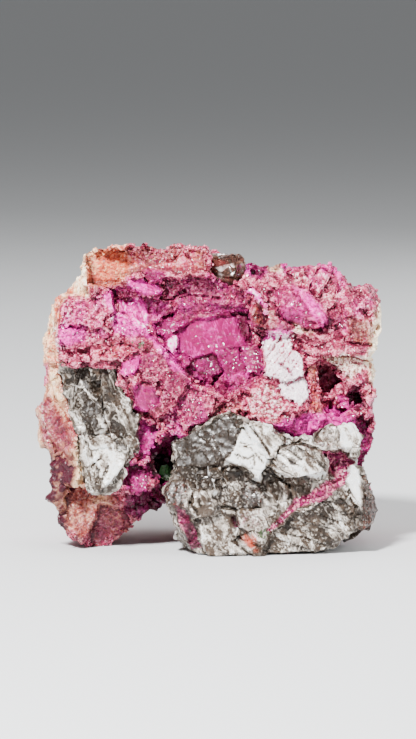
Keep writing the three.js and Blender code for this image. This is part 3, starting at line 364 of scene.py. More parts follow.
    ("shadow shelf", 1, {"wine": 1.1, "magenta": 0.8, "smooth": 0.4}, None,
     [(-12, 10.3), (-9, 10.6), (-6.8, 12.2), (-4, 12), (-4, 5), (-9, 5.4), (-13, 7)]),
    ("mouth of the hollow", 0.8, {"wine": 0.95, "magenta": 1.0}, None,
     [(-6.8, 19.4), (-2, 19), (-2, 8), (-6, 7), (-8.3, 9.6), (-6.8, 12.4), (-7.4, 16.6), (-7.4, 18.4)]),
    ("foot", 1.5, {"rind": 0.6, "magenta": 0.15, "wine": 0.6, "smooth": 0.3, "pale": 0.2}, (0.2, -0.1, 0.1),
     [(-22, 11.4), (-19, 11.1), (-14.2, 10.3), (-13.2, 7.4), (-17, 4.6), (-20, 2.4), (-22, 5)]),
    ("pink heel of the foot", 1.2, {"magenta": 0.35, "rind": 0.35, "wine": 0.72, "smooth": 0.35},
     (0.1, 0.3, -0.3), [(-16.6, 8.4), (-13, 7.4), (-10.5, 4.8), (-14, 2.6), (-18, 1.2), (-18.6, 3.4)]),
    ("shoulder", 1.2, {"magenta": 0.34, "pale": 0.05, "rind": 0.12, "wine": 0.38, "smooth": 0.12}, None,
     [(6.1, 48), (19, 48), (29, 42), (29, 30.6), (19, 30.6), (16.1, 32.8), (13.9, 35), (8.3, 35),
      (6.7, 40.2)]),
    ("upper slope of the shoulder", 1, {"rind": 0.2, "pale": 0.4, "wine": 0}, None,
     [(9.6, 44.6), (17, 44.8), (22.8, 42.6), (20, 38.6), (17.6, 41), (12.2, 43)]),
    ("right slope of the shoulder", 1, {"rind": 0.2, "pale": 0.35, "wine": 0}, None,
     [(21, 38.6), (23.6, 42.2), (26, 40.6), (26.2, 34), (21.6, 34)]),
    ("magenta bulge", 0.9, {"magenta": 0.65, "smooth": 0.25, "pale": 0.18, "wine": 0}, (0.4, -0.1, 0.2),
     [(10.6, 41.7), (12.4, 42.7), (15.2, 41.9), (17.2, 39.7), (18.8, 37.3), (18, 35.9), (15.6, 36.1),
      (11.6, 37.9), (10.6, 39.7)]),
    ("lilac side of the bulge", 1.2, {"magenta": 0.75, "smooth": 0.3, "pale": 0.42}, (0.4, 0.25, 0.35),
     [(13.4, 42), (15.2, 41.9), (17.2, 39.7), (18.8, 37.3), (17.6, 36.6), (15.4, 38.8)]),
    ("foot of the bulge", 0.6, {"magenta": 0.7, "smooth": 0.3, "wine": 0.38, "pale": 0}, (0.1, 0.1, -0.4),
     [(11.2, 39), (14.6, 38.2), (17.4, 36.4), (15.6, 36.1), (11.6, 37.4)]),
    ("notch rim", 0.5, {"magenta": 1.3, "smooth": 0.5, "rind": 0, "wine": 0.55, "pale": -0.2},
     (-0.5, 0.1, 0.3), [(6.2, 46.8), (9.3, 46.6), (9, 44.4), (8.2, 43.6), (6.7, 43.9)]),
    ("bright edge of the notch", 0.4, {"magenta": 1.0, "smooth": 0.7, "rind": 0, "wine": 0, "pale": 0.5},
     (0.4, -0.2, 0.3), [(4.4, 48), (5.6, 48), (6.3, 46.4), (6.7, 44.4), (5.9, 44.4), (5.1, 46)]),
    ("magenta rim of the top", 0.5, {"magenta": 1.2, "rind": 0, "smooth": 0.6, "pale": 0.1, "wine": 0.1},
     (-0.2, 0.1, 0.4), [(11.6, 46.6), (15, 46.8), (14.8, 45.5), (12.2, 45), (12, 44.5), (11.4, 45.3)]),
    ("cream nubs of the top", 0.5, {"pale": 0.6, "rind": 0.7, "magenta": 0}, (0.4, 0.1, 0.3),
     [(9.3, 46.2), (11.4, 46.2), (12, 44.8), (10.2, 44.6), (9.2, 45.2)]),
    ("crown of the shoulder", 0.8, {"magenta": 0.6, "wine": 0.05, "pale": 0.28, "smooth": 0.15}, None,
     [(16.8, 47), (20.8, 47.2), (22, 45.2), (20.4, 43.8), (17.4, 44.6)]),
    ("fin", 0.35, {"magenta": 1.0, "pale": 0.8, "wine": 0, "smooth": 0.6}, (0.9, -0.3, 0.1),
     [(6.1, 41.9), (7.3, 42), (8.7, 39.9), (9.5, 38), (9, 38.1), (8, 39.6), (6.9, 40.9)]),
    ("olive side of the fin", 0.5, {"rind": 0.45, "wine": 0.65, "magenta": 0.1, "pale": 0}, (-0.6, 0.5, -0.3),
     [(7.4, 39.9), (8.6, 39.2), (9.4, 37.6), (9.2, 36), (7.4, 36.4), (7, 38.4)]),
    ("cream side of the fin", 0.5, {"rind": 0.4, "pale": 0.35, "magenta": 0.25}, (0.3, 0.3, 0.1),
     [(9.4, 38.6), (10.6, 38.4), (11.2, 36), (9.6, 35.6), (9.4, 37)]),
    ("pit beside the plate", 0.5, {"wine": 1.1, "magenta": 0.3, "rind": 0}, (-1.2, 0.0, 0.0),
     [(7.6, 36.2), (9.4, 36), (9.4, 34.9), (8, 34.8)]),
    ("green-grey stain", 0.6, {"rind": 0.55, "pale": 0.5, "magenta": 0, "wine": 0.2}, (0.2, 0.2, 0.3),
     [(13, 36.8), (14.4, 36.2), (16.8, 35.2), (16.2, 34.6), (13.6, 35)]),
    ("brown dip of the shoulder", 1, {"wine": 0.65, "rind": 0.5, "magenta": 0.1}, (-0.2, 0.1, 0.0),
     [(21.8, 37.4), (25.4, 37), (25.8, 33.6), (22.6, 33.2)]),
    ("pink corner of the plate", 0.8, {"magenta": 0.8, "pale": 1.3, "wine": -0.2}, None,
     [(8.4, 33.6), (9.8, 35.4), (13.4, 35.2), (13.4, 34.2), (10.6, 34.2), (9, 32.4)]),
    ("white plate", 0.7, {"pale": 0.88, "smooth": 0.8, "magenta": 0.1, "wine": 0, "rind": 0},
     (0.3, 0.15, 0.38),
     [(8.6, 33.1), (10.7, 34.6), (13.5, 34.6), (13.3, 32.7), (14.5, 32.1), (15.1, 30.2), (15.1, 28.3),
      (11.8, 27.3), (9.1, 28.5)]),
    ("lower white plate", 0.9, {"pale": 1.15, "smooth": 0.4, "magenta": 0.2, "wine": 0, "rind": 0},
     (0.1, 0.2, 0.3),
     [(11.4, 27.6), (15.1, 28.3), (15.8, 27.9), (15.8, 25.2), (14.7, 23.9), (12.8, 24.6), (10.8, 26.2)]),
    ("pink foot of the plate", 1.2, {"pale": 0.5, "magenta": 0.15, "rind": 0.3, "smooth": 0.1},
     (0.2, -0.2, 0.2), [(6.4, 25.6), (9, 27.8), (11, 26), (13, 24), (10.2, 21.2), (5.6, 22.6)]),
    ("shelf above the grey mass", 0.8, {"magenta": 0.35, "rind": 0.35, "wine": 0.1}, (0.5, -0.3, 0.5),
     [(0.2, 21.4), (2.4, 23.6), (5, 25), (6, 24.2), (5.2, 22.6), (3.6, 22.2), (1.6, 21)]),
    ("rib beside the pit", 0.5, {"rind": 0.5, "magenta": 0.3, "pale": 0.1}, (0.8, 0.6, 0.0),
     [(15.6, 30), (17, 30.2), (17.4, 26), (18, 22.6), (16.4, 22.4), (15.9, 26)]),
    ("upper right pit", 0.6, {"wine": 0.45, "magenta": 0.3}, None,
     [(17.4, 30.4), (19, 29.9), (20.7, 28.4), (20.4, 26.2), (18.4, 25.6), (17, 27)]),
    ("cream lip of the pit", 0.5, {"pale": 0.85, "rind": 0.55, "wine": 0}, (0.5, 0.3, 0.2),
     [(18, 31.6), (21.6, 31.8), (26, 31.2), (25.6, 28.4), (22.2, 27), (21.4, 28.8), (19.6, 30.4)]),
    ("lower right pit", 0.6, {"wine": 0.75, "magenta": 0.5}, None,
     [(21.8, 27.2), (23.6, 27), (24.4, 24.6), (23.8, 22.7), (22.2, 24.4)]),
    ("magenta rod", 0.4, {"magenta": 1.0, "smooth": 0.7, "wine": 0.15, "pale": 0.05}, (0.9, -0.1, 0.3),
     [(20.4, 25.4), (21.6, 25.2), (22.9, 23.7), (22.5, 22.9), (20.8, 23.8)]),
    ("magenta valley", 0.8, {"magenta": 0.9, "wine": 0.08, "smooth": 0.3, "pale": 0.35}, None,
     [(10.4, 20.8), (15.6, 22.4), (19.4, 23.6), (22.6, 22.6), (23.6, 21), (19, 20), (16.6, 18), (12, 18.4)]),
    ("right column", 1, {"pale": 0.3, "magenta": 0.3, "rind": 0.25}, None,
     [(20.5, 27), (28, 31.5), (28, 15), (25.2, 16), (24.4, 21.8), (23.4, 27.7)]),
    ("magenta foot of the column", 1.2, {"magenta": 0.7, "wine": 0.35, "pale": 0.0}, (0.0, 0.3, 0.0),
     [(23, 22.6), (25.6, 22), (26.4, 14), (23, 14), (23.6, 18)]),
    ("white right rim", 1.6, {"pale": 1.0, "rind": 0.9, "magenta": 0, "wine": 0, "smooth": 0.5}, None,
     [(26.6, 39.4), (29, 42), (29, 25), (25.6, 28), (25, 31.4), (25.6, 34), (26, 37)]),
)
PINK_START = {"magenta": 0.25, "rind": 0.1, "pale": 0.1, "wine": 0.1, "smooth": 0.0}

# Borders of the seats that hold the grey masses
SEATS = (
    [(-4.4, 6), (-3.6, 17.6), (2, 21), (5, 21.4), (9, 19), (22, 18.4), (22, 14), (24, 10), (22, 5), (5, 2),
     (-3, 3)],
    [(-21, 29.4), (-15, 28.6), (-12.4, 22), (-12, 17.4), (-14.5, 12.4), (-18, 11.9), (-18.3, 18)],
)

# Cracks of the pink face: width, depth and course
CRACKS = (
    (0.45, 0.8, [(-17, 41.3), (-15.6, 42), (-14.4, 41.6), (-14.1, 38.6), (-15.6, 37.2), (-15.9, 35.6)]),
    (0.3, 0.4, [(-4.2, 40.5), (-2.6, 40.9), (-1.8, 40.7), (0.2, 40.9)]),
    (0.5, 0.9, [(4, 38.1), (5.2, 38.3), (6.3, 38)]),
    (0.3, 0.5, [(0.9, 40.5), (2, 40.4)]),
    (0.4, 0.8, [(-7.6, 40.7), (-5.4, 40.4), (-3.6, 41.8)]),
    (0.35, 0.7, [(-14.2, 33.8), (-12.8, 34.4)]),
    (0.35, 0.8, [(-16.2, 31.6), (-15.8, 32.4)]),
    (0.4, 0.9, [(-8.6, 34.9), (-5.4, 31.6), (-2.3, 27.8), (1.6, 26.4), (3, 25)]),
    (0.4, 0.8, [(0.3, 21.3), (2.3, 24), (5, 25.2), (6.9, 25.5)]),
    (0.6, 1.0, [(5, 22.8), (5.6, 22), (6, 22.6)]),
    (0.3, 0.3, [(2.9, 32.6), (5.1, 32.9), (5.3, 31)]),
    (0.5, 1.0, [(6.7, 40.3), (6.2, 38.3), (6.9, 35.6), (8.4, 34.6), (8.5, 32.6)]),
    (0.4, 0.8, [(10.4, 42), (10.4, 39.6), (11.4, 37.5), (15.4, 35.7), (18.2, 35.5), (19, 37.2)]),
    (0.4, 0.7, [(19, 37.2), (21.4, 33.6), (25.6, 33.2)]),
    (0.35, 0.5, [(11.4, 30.2), (12.6, 29.3), (13.4, 28.3)]),
    (0.3, 0.4, [(9.4, 31.2), (10.6, 33), (11.4, 34.2)]),
    (0.4, 0.8,
     [(13.5, 34.7), (13.4, 32.8), (14.6, 32.2), (15.4, 30), (15.4, 28.2), (16, 25.2), (14.8, 23.6)]),
    (0.4, 0.6, [(-11.4, 27.4), (-7.4, 27.2), (-4.6, 24.2), (-5, 20.4)]),
    (0.4, 0.7, [(-11.3, 22.8), (-8.6, 22.6), (-7, 20.2)]),
)

# Pale lines on the pink face: width, strength and course
PALE_LINES = (
    (0.35, 0.7,
     [(-19.3, 44.4), (-21, 43.7), (-22.5, 42.1), (-23.9, 40.7), (-24, 39.1), (-23.7, 37.2), (-23.8, 35.2)]),
    (0.3, 0.6, [(-22.5, 41.5), (-22.1, 40.4), (-21.4, 39.1), (-21.6, 37.2), (-22.5, 36.1)]),
    (0.3, 0.6, [(-20, 42.2), (-19.9, 41)]),
    (0.35, 0.7, [(-19.1, 46), (-18.8, 42.9), (-18.6, 41.8), (-18.2, 40.3)]),
    (0.4, 0.6, [(-23.4, 37.2), (-23.2, 34.4), (-22.8, 31.7)]),
    (0.2, 0.8, [(-13.1, 40.1), (-12.6, 38.3), (-12.4, 37.7)]),
    (0.2, 0.7, [(-12.2, 39.7), (-11.7, 37.7)]),
    (0.2, 0.8, [(-10.8, 40.4), (-10.1, 38.7), (-9.4, 36.6)]),
    (0.2, 0.7, [(-9.7, 39.4), (-9.2, 36.4)]),
    (0.25, 0.7, [(-11.2, 37.5), (-9.7, 36.1), (-8.6, 34.7)]),
    (0.3, 0.7, [(-15, 36.8), (-14.4, 37.7), (-13.7, 38.1)]),
    (0.2, 0.6, [(-13, 43.9), (-12.2, 42.6), (-11.1, 41.9)]),
    (0.2, 0.6, [(-11.2, 42.6), (-10.1, 43.7), (-9.4, 43), (-8.5, 43.2)]),
    (0.25, 0.5, [(-25.6, 24.4), (-25.6, 21.4), (-24.6, 19.6)]),
    (0.3, 0.5, [(-19.7, 21), (-19.6, 18.6), (-19.9, 15)]),
)

# Regions of the grey masses: frost is white veil, smoke is clear and dark calcite and also painted shade
# where a mass lies in shadow, vein is pink, stain is rusty and grit is speckled
GREY_REGIONS = (
    ("dark face", 0.8, {"smoke": 1.35, "frost": -0.2, "grit": 0.1, "stain": 0.05}, (-0.1, -0.25, 0.18),
     [(-4.8, 18.4), (-2.7, 19.4), (2.1, 22), (4.6, 23.4), (5.7, 21.5), (4.8, 19.4), (4, 17.1), (2.7, 15.4),
      (0, 14.4), (-5, 14.8)]),
    ("brown shadow of the face", 1.4, {"smoke": 1.8, "frost": -0.65, "grit": 0.4}, None,
     [(-3.4, 13.6), (1.7, 13.7), (1.3, 11), (-2.6, 11)]),
    ("dark hollow", 1.2, {"smoke": 0.95, "frost": 0.05, "grit": 0.4}, (-0.5, 0.0, 0.0),
     [(2.6, 13.9), (5.7, 14.1), (5.4, 12.2), (3.2, 12)]),
    ("brown hollow", 1.1, {"smoke": 1.5, "frost": -0.25, "stain": 0.1, "grit": 0.8}, (0.3, -0.1, 0.25),
     [(5.5, 12.4), (7.5, 12.6), (9, 10.9), (9.2, 8.7), (6.8, 8.1), (5.1, 9.6)]),
    ("lens", 1.2, {"smoke": 0.4, "frost": 0.35, "grit": 0.3}, (0.1, -0.15, 0.15),
     [(9.6, 15.4), (11.4, 17.6), (14, 18), (16.6, 17.2), (18.4, 15.6), (17.4, 13.6), (13.8, 12.8),
      (11, 13.4)]),
    ("white streak of the lens", 0.8, {"frost": 0.9, "smoke": 0.0}, None,
     [(12.8, 14.6), (15, 15), (18.2, 13.6), (17.6, 12.6), (14.6, 13)]),
    ("left blade", 1, {"frost": 0.35, "smoke": 0.45, "grit": 0.0}, (0.5, -0.2, 0.2),
     [(-2.4, 10.8), (0.6, 10.6), (1.6, 8.6), (-0.6, 7), (-2.4, 7.4)]),
    ("pale nub", 0.6, {"frost": 0.1, "smoke": 1.1, "stain": 0.15, "vein": 0.12, "grit": 0.4},
     (0.2, -0.3, 0.4), [(-6.8, 11.4), (-3.4, 12.6), (-2.5, 10.6), (-2.6, 7.8), (-6, 8.6)]),
    ("rough centre", 0.8, {"frost": -0.05, "smoke": 1.0, "grit": 1.1}, (0.1, 0.0, 0.05),
     [(1.6, 11.6), (4.2, 12), (5.2, 9.4), (4.8, 8), (1.9, 8.4)]),
    ("upper strip", 0.5, {"frost": 0.7, "smoke": 0.15, "grit": 0.3}, (-0.1, 0.15, 0.5),
     [(6.6, 22.4), (10, 21.6), (13, 20), (12, 17.9), (10.3, 16.9), (9.2, 15.8), (8, 18.3), (6.9, 20.4)]),
    ("strip above the lens", 0.6, {"frost": 0.75, "smoke": 0.05, "vein": 0.15}, (0.0, 0.0, 0.6),
     [(12, 20), (18.8, 18), (18.6, 16.6), (16.8, 17.6), (14, 18.3), (11.8, 17.9)]),
    ("bright kite", 0.3, {"frost": 1.45, "smoke": 0.0, "grit": 0.3}, (0.3, 0.1, 0.42),
     [(4.8, 18.9), (5.5, 20.6), (6.9, 20.8), (8.4, 17.7), (9.5, 15.4), (8.6, 13.7), (8.2, 12), (7.1, 13.1),
      (5.7, 14.5), (3, 15.3), (4, 16.9)]),
    ("white lump", 0.5, {"frost": 0.75, "grit": 1.0, "smoke": 0.1}, (0.5, 0.25, 0.2),
     [(20.3, 22), (23.8, 22), (24.2, 18.9), (23.6, 17.6), (21.4, 17.4), (20.2, 18.9)]),
    ("lump neck", 0.8, {"frost": 0.4, "stain": 0.15, "smoke": 0.3}, (0.0, -0.3, 0.3),
     [(16.4, 21), (20.1, 21.6), (20.1, 18.4), (20.8, 17), (18.7, 16.9), (16.4, 18.2)]),
    ("right facet", 0.8, {"frost": 1.3, "smoke": -0.2, "grit": 0.5, "vein": 0}, (0.0, 0.4, 0.3),
     [(21.9, 16.2), (23.3, 15), (24, 12), (23.8, 8.7), (22.6, 8.9), (21.6, 11.2), (21.8, 13.4)]),
    # The brown right side: its darkness is partly the calcite's own and partly painted shade
    ("brown right side", 1.2, {"smoke": 0.9, "stain": 0.2, "frost": -0.2}, None,
     [(24.2, 14), (28, 14), (28, 3), (23.4, 4), (24, 9)]),
    ("bottom right", 1.4, {"smoke": 0.6, "frost": 0.3, "grit": 0.8}, (0.2, 0.1, -0.15),
     [(9.6, 4), (13.2, 7), (17, 8.8), (21, 10.4), (22.7, 7), (22, 3), (16, 1), (9, 1)]),
    ("bottom left", 1.4, {"frost": 0.32, "smoke": 0.4, "grit": 0.9, "stain": 0.06}, (0.3, 0.0, 0.05),
     [(-2, 6.6), (1.7, 7.4), (4.4, 7), (4, 3), (6, 1), (0, 0.6)]),
    ("pale plate at the bottom", 0.6, {"frost": 0.25, "smoke": 0.3, "vein": 0.18}, (0.6, 0.1, 0.25),
     [(5.2, 7.8), (8.4, 7.9), (9.6, 6.4), (8.4, 4.6), (6.3, 4.3), (5, 5.6)]),
    ("pit", 0.4, {"vein": 0.4, "smoke": 1.0, "frost": -0.3}, (-1.1, 0.0, 0.0),
     [(3.8, 7), (4.5, 6.8), (5.2, 5.4), (4.6, 5), (3.9, 6)]),
    ("lower pit", 0.4, {"vein": 0.2, "smoke": 1.9, "frost": -0.9}, (-0.8, 0.0, 0.0),
     [(4.6, 3.8), (5.4, 3.9), (5.6, 3.1), (4.7, 3)]),
    ("vein hole", 0.5, {"vein": 1.2, "smoke": 0.0, "frost": 0}, (-0.1, 0.0, 0.0),
     [(17.8, 16.9), (20.1, 16.6), (23.1, 15.2), (21.6, 14.3), (21.6, 13.1), (19.9, 12.7), (18.9, 13.9),
      (19.1, 15.4)]),
    ("vein", 0.5, {"vein": 1.0, "frost": 0.0, "smoke": 0.0}, None,
     [(15.7, 10.2), (18.4, 12.2), (21.8, 13.1), (20.5, 11.4), (17.8, 9.3), (14.7, 8.7), (13.2, 7.6),
      (10.9, 5.5), (9.2, 4.5), (9.6, 5.3), (11.3, 6.8), (12.6, 8.2), (13.4, 9.5)]),
    ("pink edge", 0.5, {"vein": 0.95, "frost": 0.1, "smoke": 0.35}, None,
     [(-5, 8.6), (-3.5, 7.8), (-2.1, 5.3), (-0.6, 2), (-2.3, 1.6), (-3.9, 5.3)]),
    ("rusty spot", 0.9, {"stain": 0.75, "frost": 0.5, "smoke": 0, "grit": 1.0}, None,
     [(5.2, 3.5), (6.2, 3.9), (7.9, 3.6), (7.4, 2.6), (7.8, 1.4), (6.6, 1.8), (6, 2.6)]),
    ("clear streaks", 1.6, {"smoke": 1.6, "frost": -0.2, "grit": 0.25}, (0.0, -0.15, 0.1),
     [(-20.4, 30), (-18.6, 29.8), (-17, 25), (-15.6, 20.5), (-17.8, 19.7), (-19.8, 24.5)]),
    ("soft grey face", 1.6, {"smoke": 0.7, "frost": 0.2, "grit": 0.1}, (0.2, 0.15, 0.05),
     [(-17, 29.6), (-13.6, 29.6), (-11.6, 25), (-10.8, 19.4), (-14.6, 18.4), (-15.6, 21)]),
    ("dark spot", 0.9, {"smoke": 1.9, "frost": -1.0}, (-0.4, 0.0, 0.0),
     [(-14.6, 21.6), (-13, 20.4), (-13.2, 19), (-14.8, 19.8)]),
    ("white patch of the left mass", 0.6, {"frost": 1.05, "smoke": 0.1, "grit": 1.1}, (0.3, 0.1, 0.4),
     [(-17.6, 17.6), (-14.3, 17.6), (-12.6, 16.2), (-13.2, 14), (-15.3, 11.4), (-16.6, 11), (-16.6, 14),
      (-17.9, 15.4)]),
    ("speckled corner", 1.4, {"frost": 0.05, "smoke": 0.6, "grit": 1.0}, (0.0, -0.3, 0.0),
     [(-18.8, 14.6), (-16.8, 14), (-16.6, 11), (-18.6, 11)]),
)
GREY_START = {"frost": 0.35, "smoke": 0.45, "vein": 0.0, "stain": 0.0, "grit": 0.5}

# Cracks of the grey masses: width, depth and course
GREY_CRACKS = (
    (0.3, 0.35, [(4.8, 16.4), (6.4, 15.6), (7.4, 16.6), (8.6, 15.2)]),
    (0.3, 0.4, [(7.1, 16.3), (7.4, 15.2), (6.9, 14.2)]),
    (0.3, 0.5, [(5.7, 20.4), (6.9, 18.6), (8.4, 17.7)]),
    (0.25, 0.3, [(5.2, 18.1), (7.2, 17.7), (7.6, 16.8)]),
    (0.4, 0.2, [(0.6, 14.3), (2, 14.7), (3.2, 14.3), (5.6, 14.6), (7.4, 13.2)]),
    (0.3, 0.6, [(2.4, 14.2), (1.7, 12.4), (1.5, 10.4)]),
    (0.3, 0.5, [(9.9, 15.6), (11.2, 17.6), (14, 18.2), (17.2, 17.2)]),
    (0.3, 0.6, [(9.6, 15), (10.2, 13.2), (12.6, 11.8), (13, 9.6)]),
    (0.3, 0.5, [(6.8, 20.6), (9.2, 17.4), (9.8, 15.8)]),
    (0.3, 0.5, [(21.5, 10.7), (22.2, 9.4), (23, 8.4)]),
    (0.25, 0.4, [(22, 10.9), (22.8, 9.6), (23.4, 8.8)]),
    (0.25, 0.3, [(5.1, 17.6), (6.8, 17.4), (7.4, 17), (8.2, 16.2)]),
    (0.25, 0.3, [(6.7, 14.9), (7.2, 16), (8.2, 16.4), (9.2, 15.8)]),
    (0.25, 0.3, [(4.1, 17), (5.4, 14.9), (6.4, 14.4)]),
    (0.3, 0.3, [(-16.6, 15.7), (-17.8, 14.5)]),
    (0.35, 0.3, [(-15.2, 14.4), (-16.2, 12.5)]),
    (0.3, 0.4, [(-2.2, 10.6), (-2.4, 8.6), (-1.2, 7)]),
    (0.25, 0.3, [(-17.4, 29.2), (-16.9, 26.6), (-17.2, 25.4), (-15.4, 22.8)]),
)

# White veins of the grey masses: width, strength and course
WHITE_VEINS = (
    (0.2, 0.9, [(-20.2, 29.8), (-19.6, 27.7), (-19.3, 26.7)]),
    (0.2, 0.8, [(-20.9, 27.2), (-19.4, 26.6), (-17.5, 25), (-15.9, 23.7)]),
    (0.2, 0.6, [(-15.4, 29.8), (-14.6, 28.8)]),
    (0.6, 0.6, [(-17, 22.6), (-16, 20.8), (-16.4, 19.6)]),
    (0.3, 0.8, [(2.1, 14.3), (2, 13.1), (1.4, 11.4), (1.3, 10.2)]),
    (0.25, 0.9, [(14.7, 15.4), (15.9, 13.9), (17.4, 12.5)]),
    (0.25, 0.8, [(15.9, 15.6), (18.4, 13.3)]),
    (0.2, 0.7, [(10.3, 16.8), (12, 15.6), (13, 14.1)]),
    (0.2, 0.7, [(11.5, 17.1), (13.6, 15.8), (14.9, 14.8)]),
    (0.5, 0.7, [(21.6, 9.3), (22.2, 6.6)]),
    (0.3, 0.6, [(5.5, 14), (7.4, 12.4), (8.2, 10.4), (9.4, 8.6)]),
)

# Faces of the clear crystal, which has no traits
CLEAR_FACES = (
    ("front", 0.3, {}, (0.5, -0.2, 0.15),
     [(0, 46.8), (3.9, 46.9), (4.6, 45.6), (4.3, 43.2), (1.5, 43.6), (0, 44.8)]),
    ("right side", 0.3, {}, (0.1, 0.7, 0.0), [(4.2, 46.9), (6.6, 46), (6.4, 43), (4.5, 43.2), (4.8, 45.6)]),
    ("top", 0.3, {}, (0.0, 0.0, 1.2), [(0, 48.2), (4, 48.2), (3.9, 47.1), (0, 47)]),
)

# Fine parallel lines of cleavage, by region: the direction across them, their spacing and height
PINK_STRIATIONS = {
    "striated blade": ((0.96, 0.28), 0.7, 0.3),
    "white plate": ((0.83, -0.56), 0.55, 0.35),
    "cleavage face of the recess": ((0.16, 0.99), 1.3, 0.06),
    "shard": ((0.4, 0.92), 0.9, 0.25),
}
GREY_STRIATIONS = {
    "dark face": ((0.8, 0.6), 1.3, 0.12),
    "lens": ((0.5, 0.86), 1.0, 0.3),
    "upper strip": ((0.8, 0.6), 0.9, 0.3),
    "left blade": ((0.97, 0.2), 0.8, 0.25),
    "right facet": ((0.95, 0.3), 0.9, 0.15),
    "clear streaks": ((0.92, 0.38), 0.9, 0.15),
    "soft grey face": ((0.96, 0.28), 1.1, 0.1),
    "bottom right": ((0.3, 0.95), 1.5, 0.25),
}

# The nearest depth of the piece in work in each half-millimetre square of the face
nearest_depth = np.full((2 * DEPTH_MAP_MIDDLE, 2 * DEPTH_MAP_MIDDLE), np.inf)


def to_face(points):
    """Millimetres in the frame to x, up and depth on the specimen's face."""
    x, y, z = (points + FACE_SHIFT).T
    up = y * math.sin(LEAN) + z * math.cos(LEAN) + GROUND_ON_FACE
    depth = y * math.cos(LEAN) - z * math.sin(LEAN)
    return np.stack((x, up, depth), axis=1)


def to_frame(points):
    """x, up and depth on the specimen's face to millimetres in the frame."""
    x, up, depth = points.T
    up = up - GROUND_ON_FACE
    y = depth * math.cos(LEAN) + up * math.sin(LEAN)
    z = up * math.cos(LEAN) - depth * math.sin(LEAN)
    return np.stack((x, y, z), axis=1) - FACE_SHIFT


def facing_viewer(points, normals):
    """How far each point of a surface faces the viewer, from -1 to 1."""
    return -(to_face(points + normals) - to_face(points))[:, 2]


def smooth_step(low, high, value):
    share = np.clip((value - low) / (high - low), 0, 1)
    return share * share * (3 - 2 * share)


def segment_distance(x, up, start, end):
    """Distance from points of the face to the straight line between two others."""
    (ax, ay), (bx, by) = start, end
    along = ((x - ax) * (bx - ax) + (up - ay) * (by - ay)) / ((bx - ax) ** 2 + (by - ay) ** 2)
    along = np.clip(along, 0, 1)
    return np.hypot(x - ax - along * (bx - ax), up - ay - along * (by - ay))


def outline_distance(outline, x, up):
    """Distance from points of the face to a closed outline, negative inside it."""
    nearest = np.full(len(x), np.inf)
    inside = np.zeros(len(x), dtype=bool)
    for start, end in zip(outline[-1:] + outline[:-1], outline):
        nearest = np.minimum(nearest, segment_distance(x, up, start, end))
        (ax, ay), (bx, by) = start, end
        if ay != by:
            inside ^= ((ay > up) != (by > up)) & (x < ax + (up - ay) / (by - ay) * (bx - ax))
    return np.where(inside, -nearest, nearest)


def random_for(cells, channel):
    """A steady random number from 0 to 1 for each cell of space. Each use has a channel of its own."""
    i, j, k = cells.astype(np.int64).T
    mixed = (i * 73856093) ^ (j * 19349663) ^ (k * 83492791) ^ (channel * 42043 + 977)
    mixed = (mixed ^ (mixed >> 13)) * 1274126177
    mixed = (mixed ^ (mixed >> 16)) & 0xFFFFFF
    return mixed / 0xFFFFFF


def soft_noise(points, size, channel):
    """Smooth noise from -1 to 1 with features of the given size."""
    scaled_points = points / size
    base = np.floor(scaled_points)
    share = scaled_points - base
    share = share * share * (3 - 2 * share)
    total = np.zeros(len(points))
    for corner in itertools.product((0, 1), repeat=3):
        weight = np.prod(np.where(corner, share, 1 - share), axis=1)
        total += weight * random_for(base + corner, channel)
    return total * 2 - 1


def nearest_grain(points, size, channel):
    """Each point's grain: its cell, its centre, and how far the point is from the next grain."""
    scaled_points = points / size
    base = np.floor(scaled_points)
    best = np.full(len(points), np.inf)
    second = best.copy()
    home = np.zeros_like(points)
    centre = np.zeros_like(points)
    for offset in itertools.product((-1, 0, 1), repeat=3):
        cells = base + offset
        spot = cells + np.stack([random_for(cells, channel + axis) for axis in range(3)], axis=1)
        apart = np.sum((scaled_points - spot) ** 2, axis=1)
        closer = apart < best
        second = np.where(closer, best, np.minimum(second, apart))
        best = np.where(closer, apart, best)
        home[closer] = cells[closer]
        centre[closer] = spot[closer]
    return home, centre * size, (np.sqrt(second) - np.sqrt(best)) * size


def random_turns(first, second, third):
    """Rotation matrices spread evenly over all turns, from three random numbers each."""
    a, b = np.sqrt(1 - first), np.sqrt(first)
    x, y = a * np.sin(2 * np.pi * second), a * np.cos(2 * np.pi * second)
    z, w = b * np.sin(2 * np.pi * third), b * np.cos(2 * np.pi * third)
    rows = (
        (1 - 2 * (y * y + z * z), 2 * (x * y - z * w), 2 * (x * z + y * w)),
        (2 * (x * y + z * w), 1 - 2 * (x * x + z * z), 2 * (y * z - x * w)),
        (2 * (x * z - y * w), 2 * (y * z + x * w), 1 - 2 * (x * x + y * y)),
    )
    return np.stack([np.stack(row, axis=-1) for row in rows], axis=-2)


def cleave(points, crystals, flat, channel):
    """Draws a surface onto the cleavage planes of crystals that are each turned their own way, less where it
    is flat. Returns the moved points and how far each is from its crystal's border."""
    size, step, riser, pull, spared = crystals
    home, centre, border = nearest_grain(points, size, channel)
    turns = random_turns(*(random_for(home, channel + 3 + axis) for axis in range(3)))
    edges = turns @ RHOMB
    local = np.einsum("nij,nj->ni", np.linalg.inv(edges), points - centre) / step
    whole = np.floor(local)
    stepped = whole + smooth_step(0.5 - riser, 0.5 + riser, local - whole)
    moved = np.einsum("nij,nj->ni", edges, (stepped - local) * step)
    amount = pull * (1 - spared * flat)
    return points + moved * np.reshape(amount, (-1, 1)), border


def region_share(outline, edge, x, up):
    """1 well inside an outline of the face, 0 outside it."""
    return np.clip(0.5 - outline_distance(outline, x, up) / edge, 0, 1)


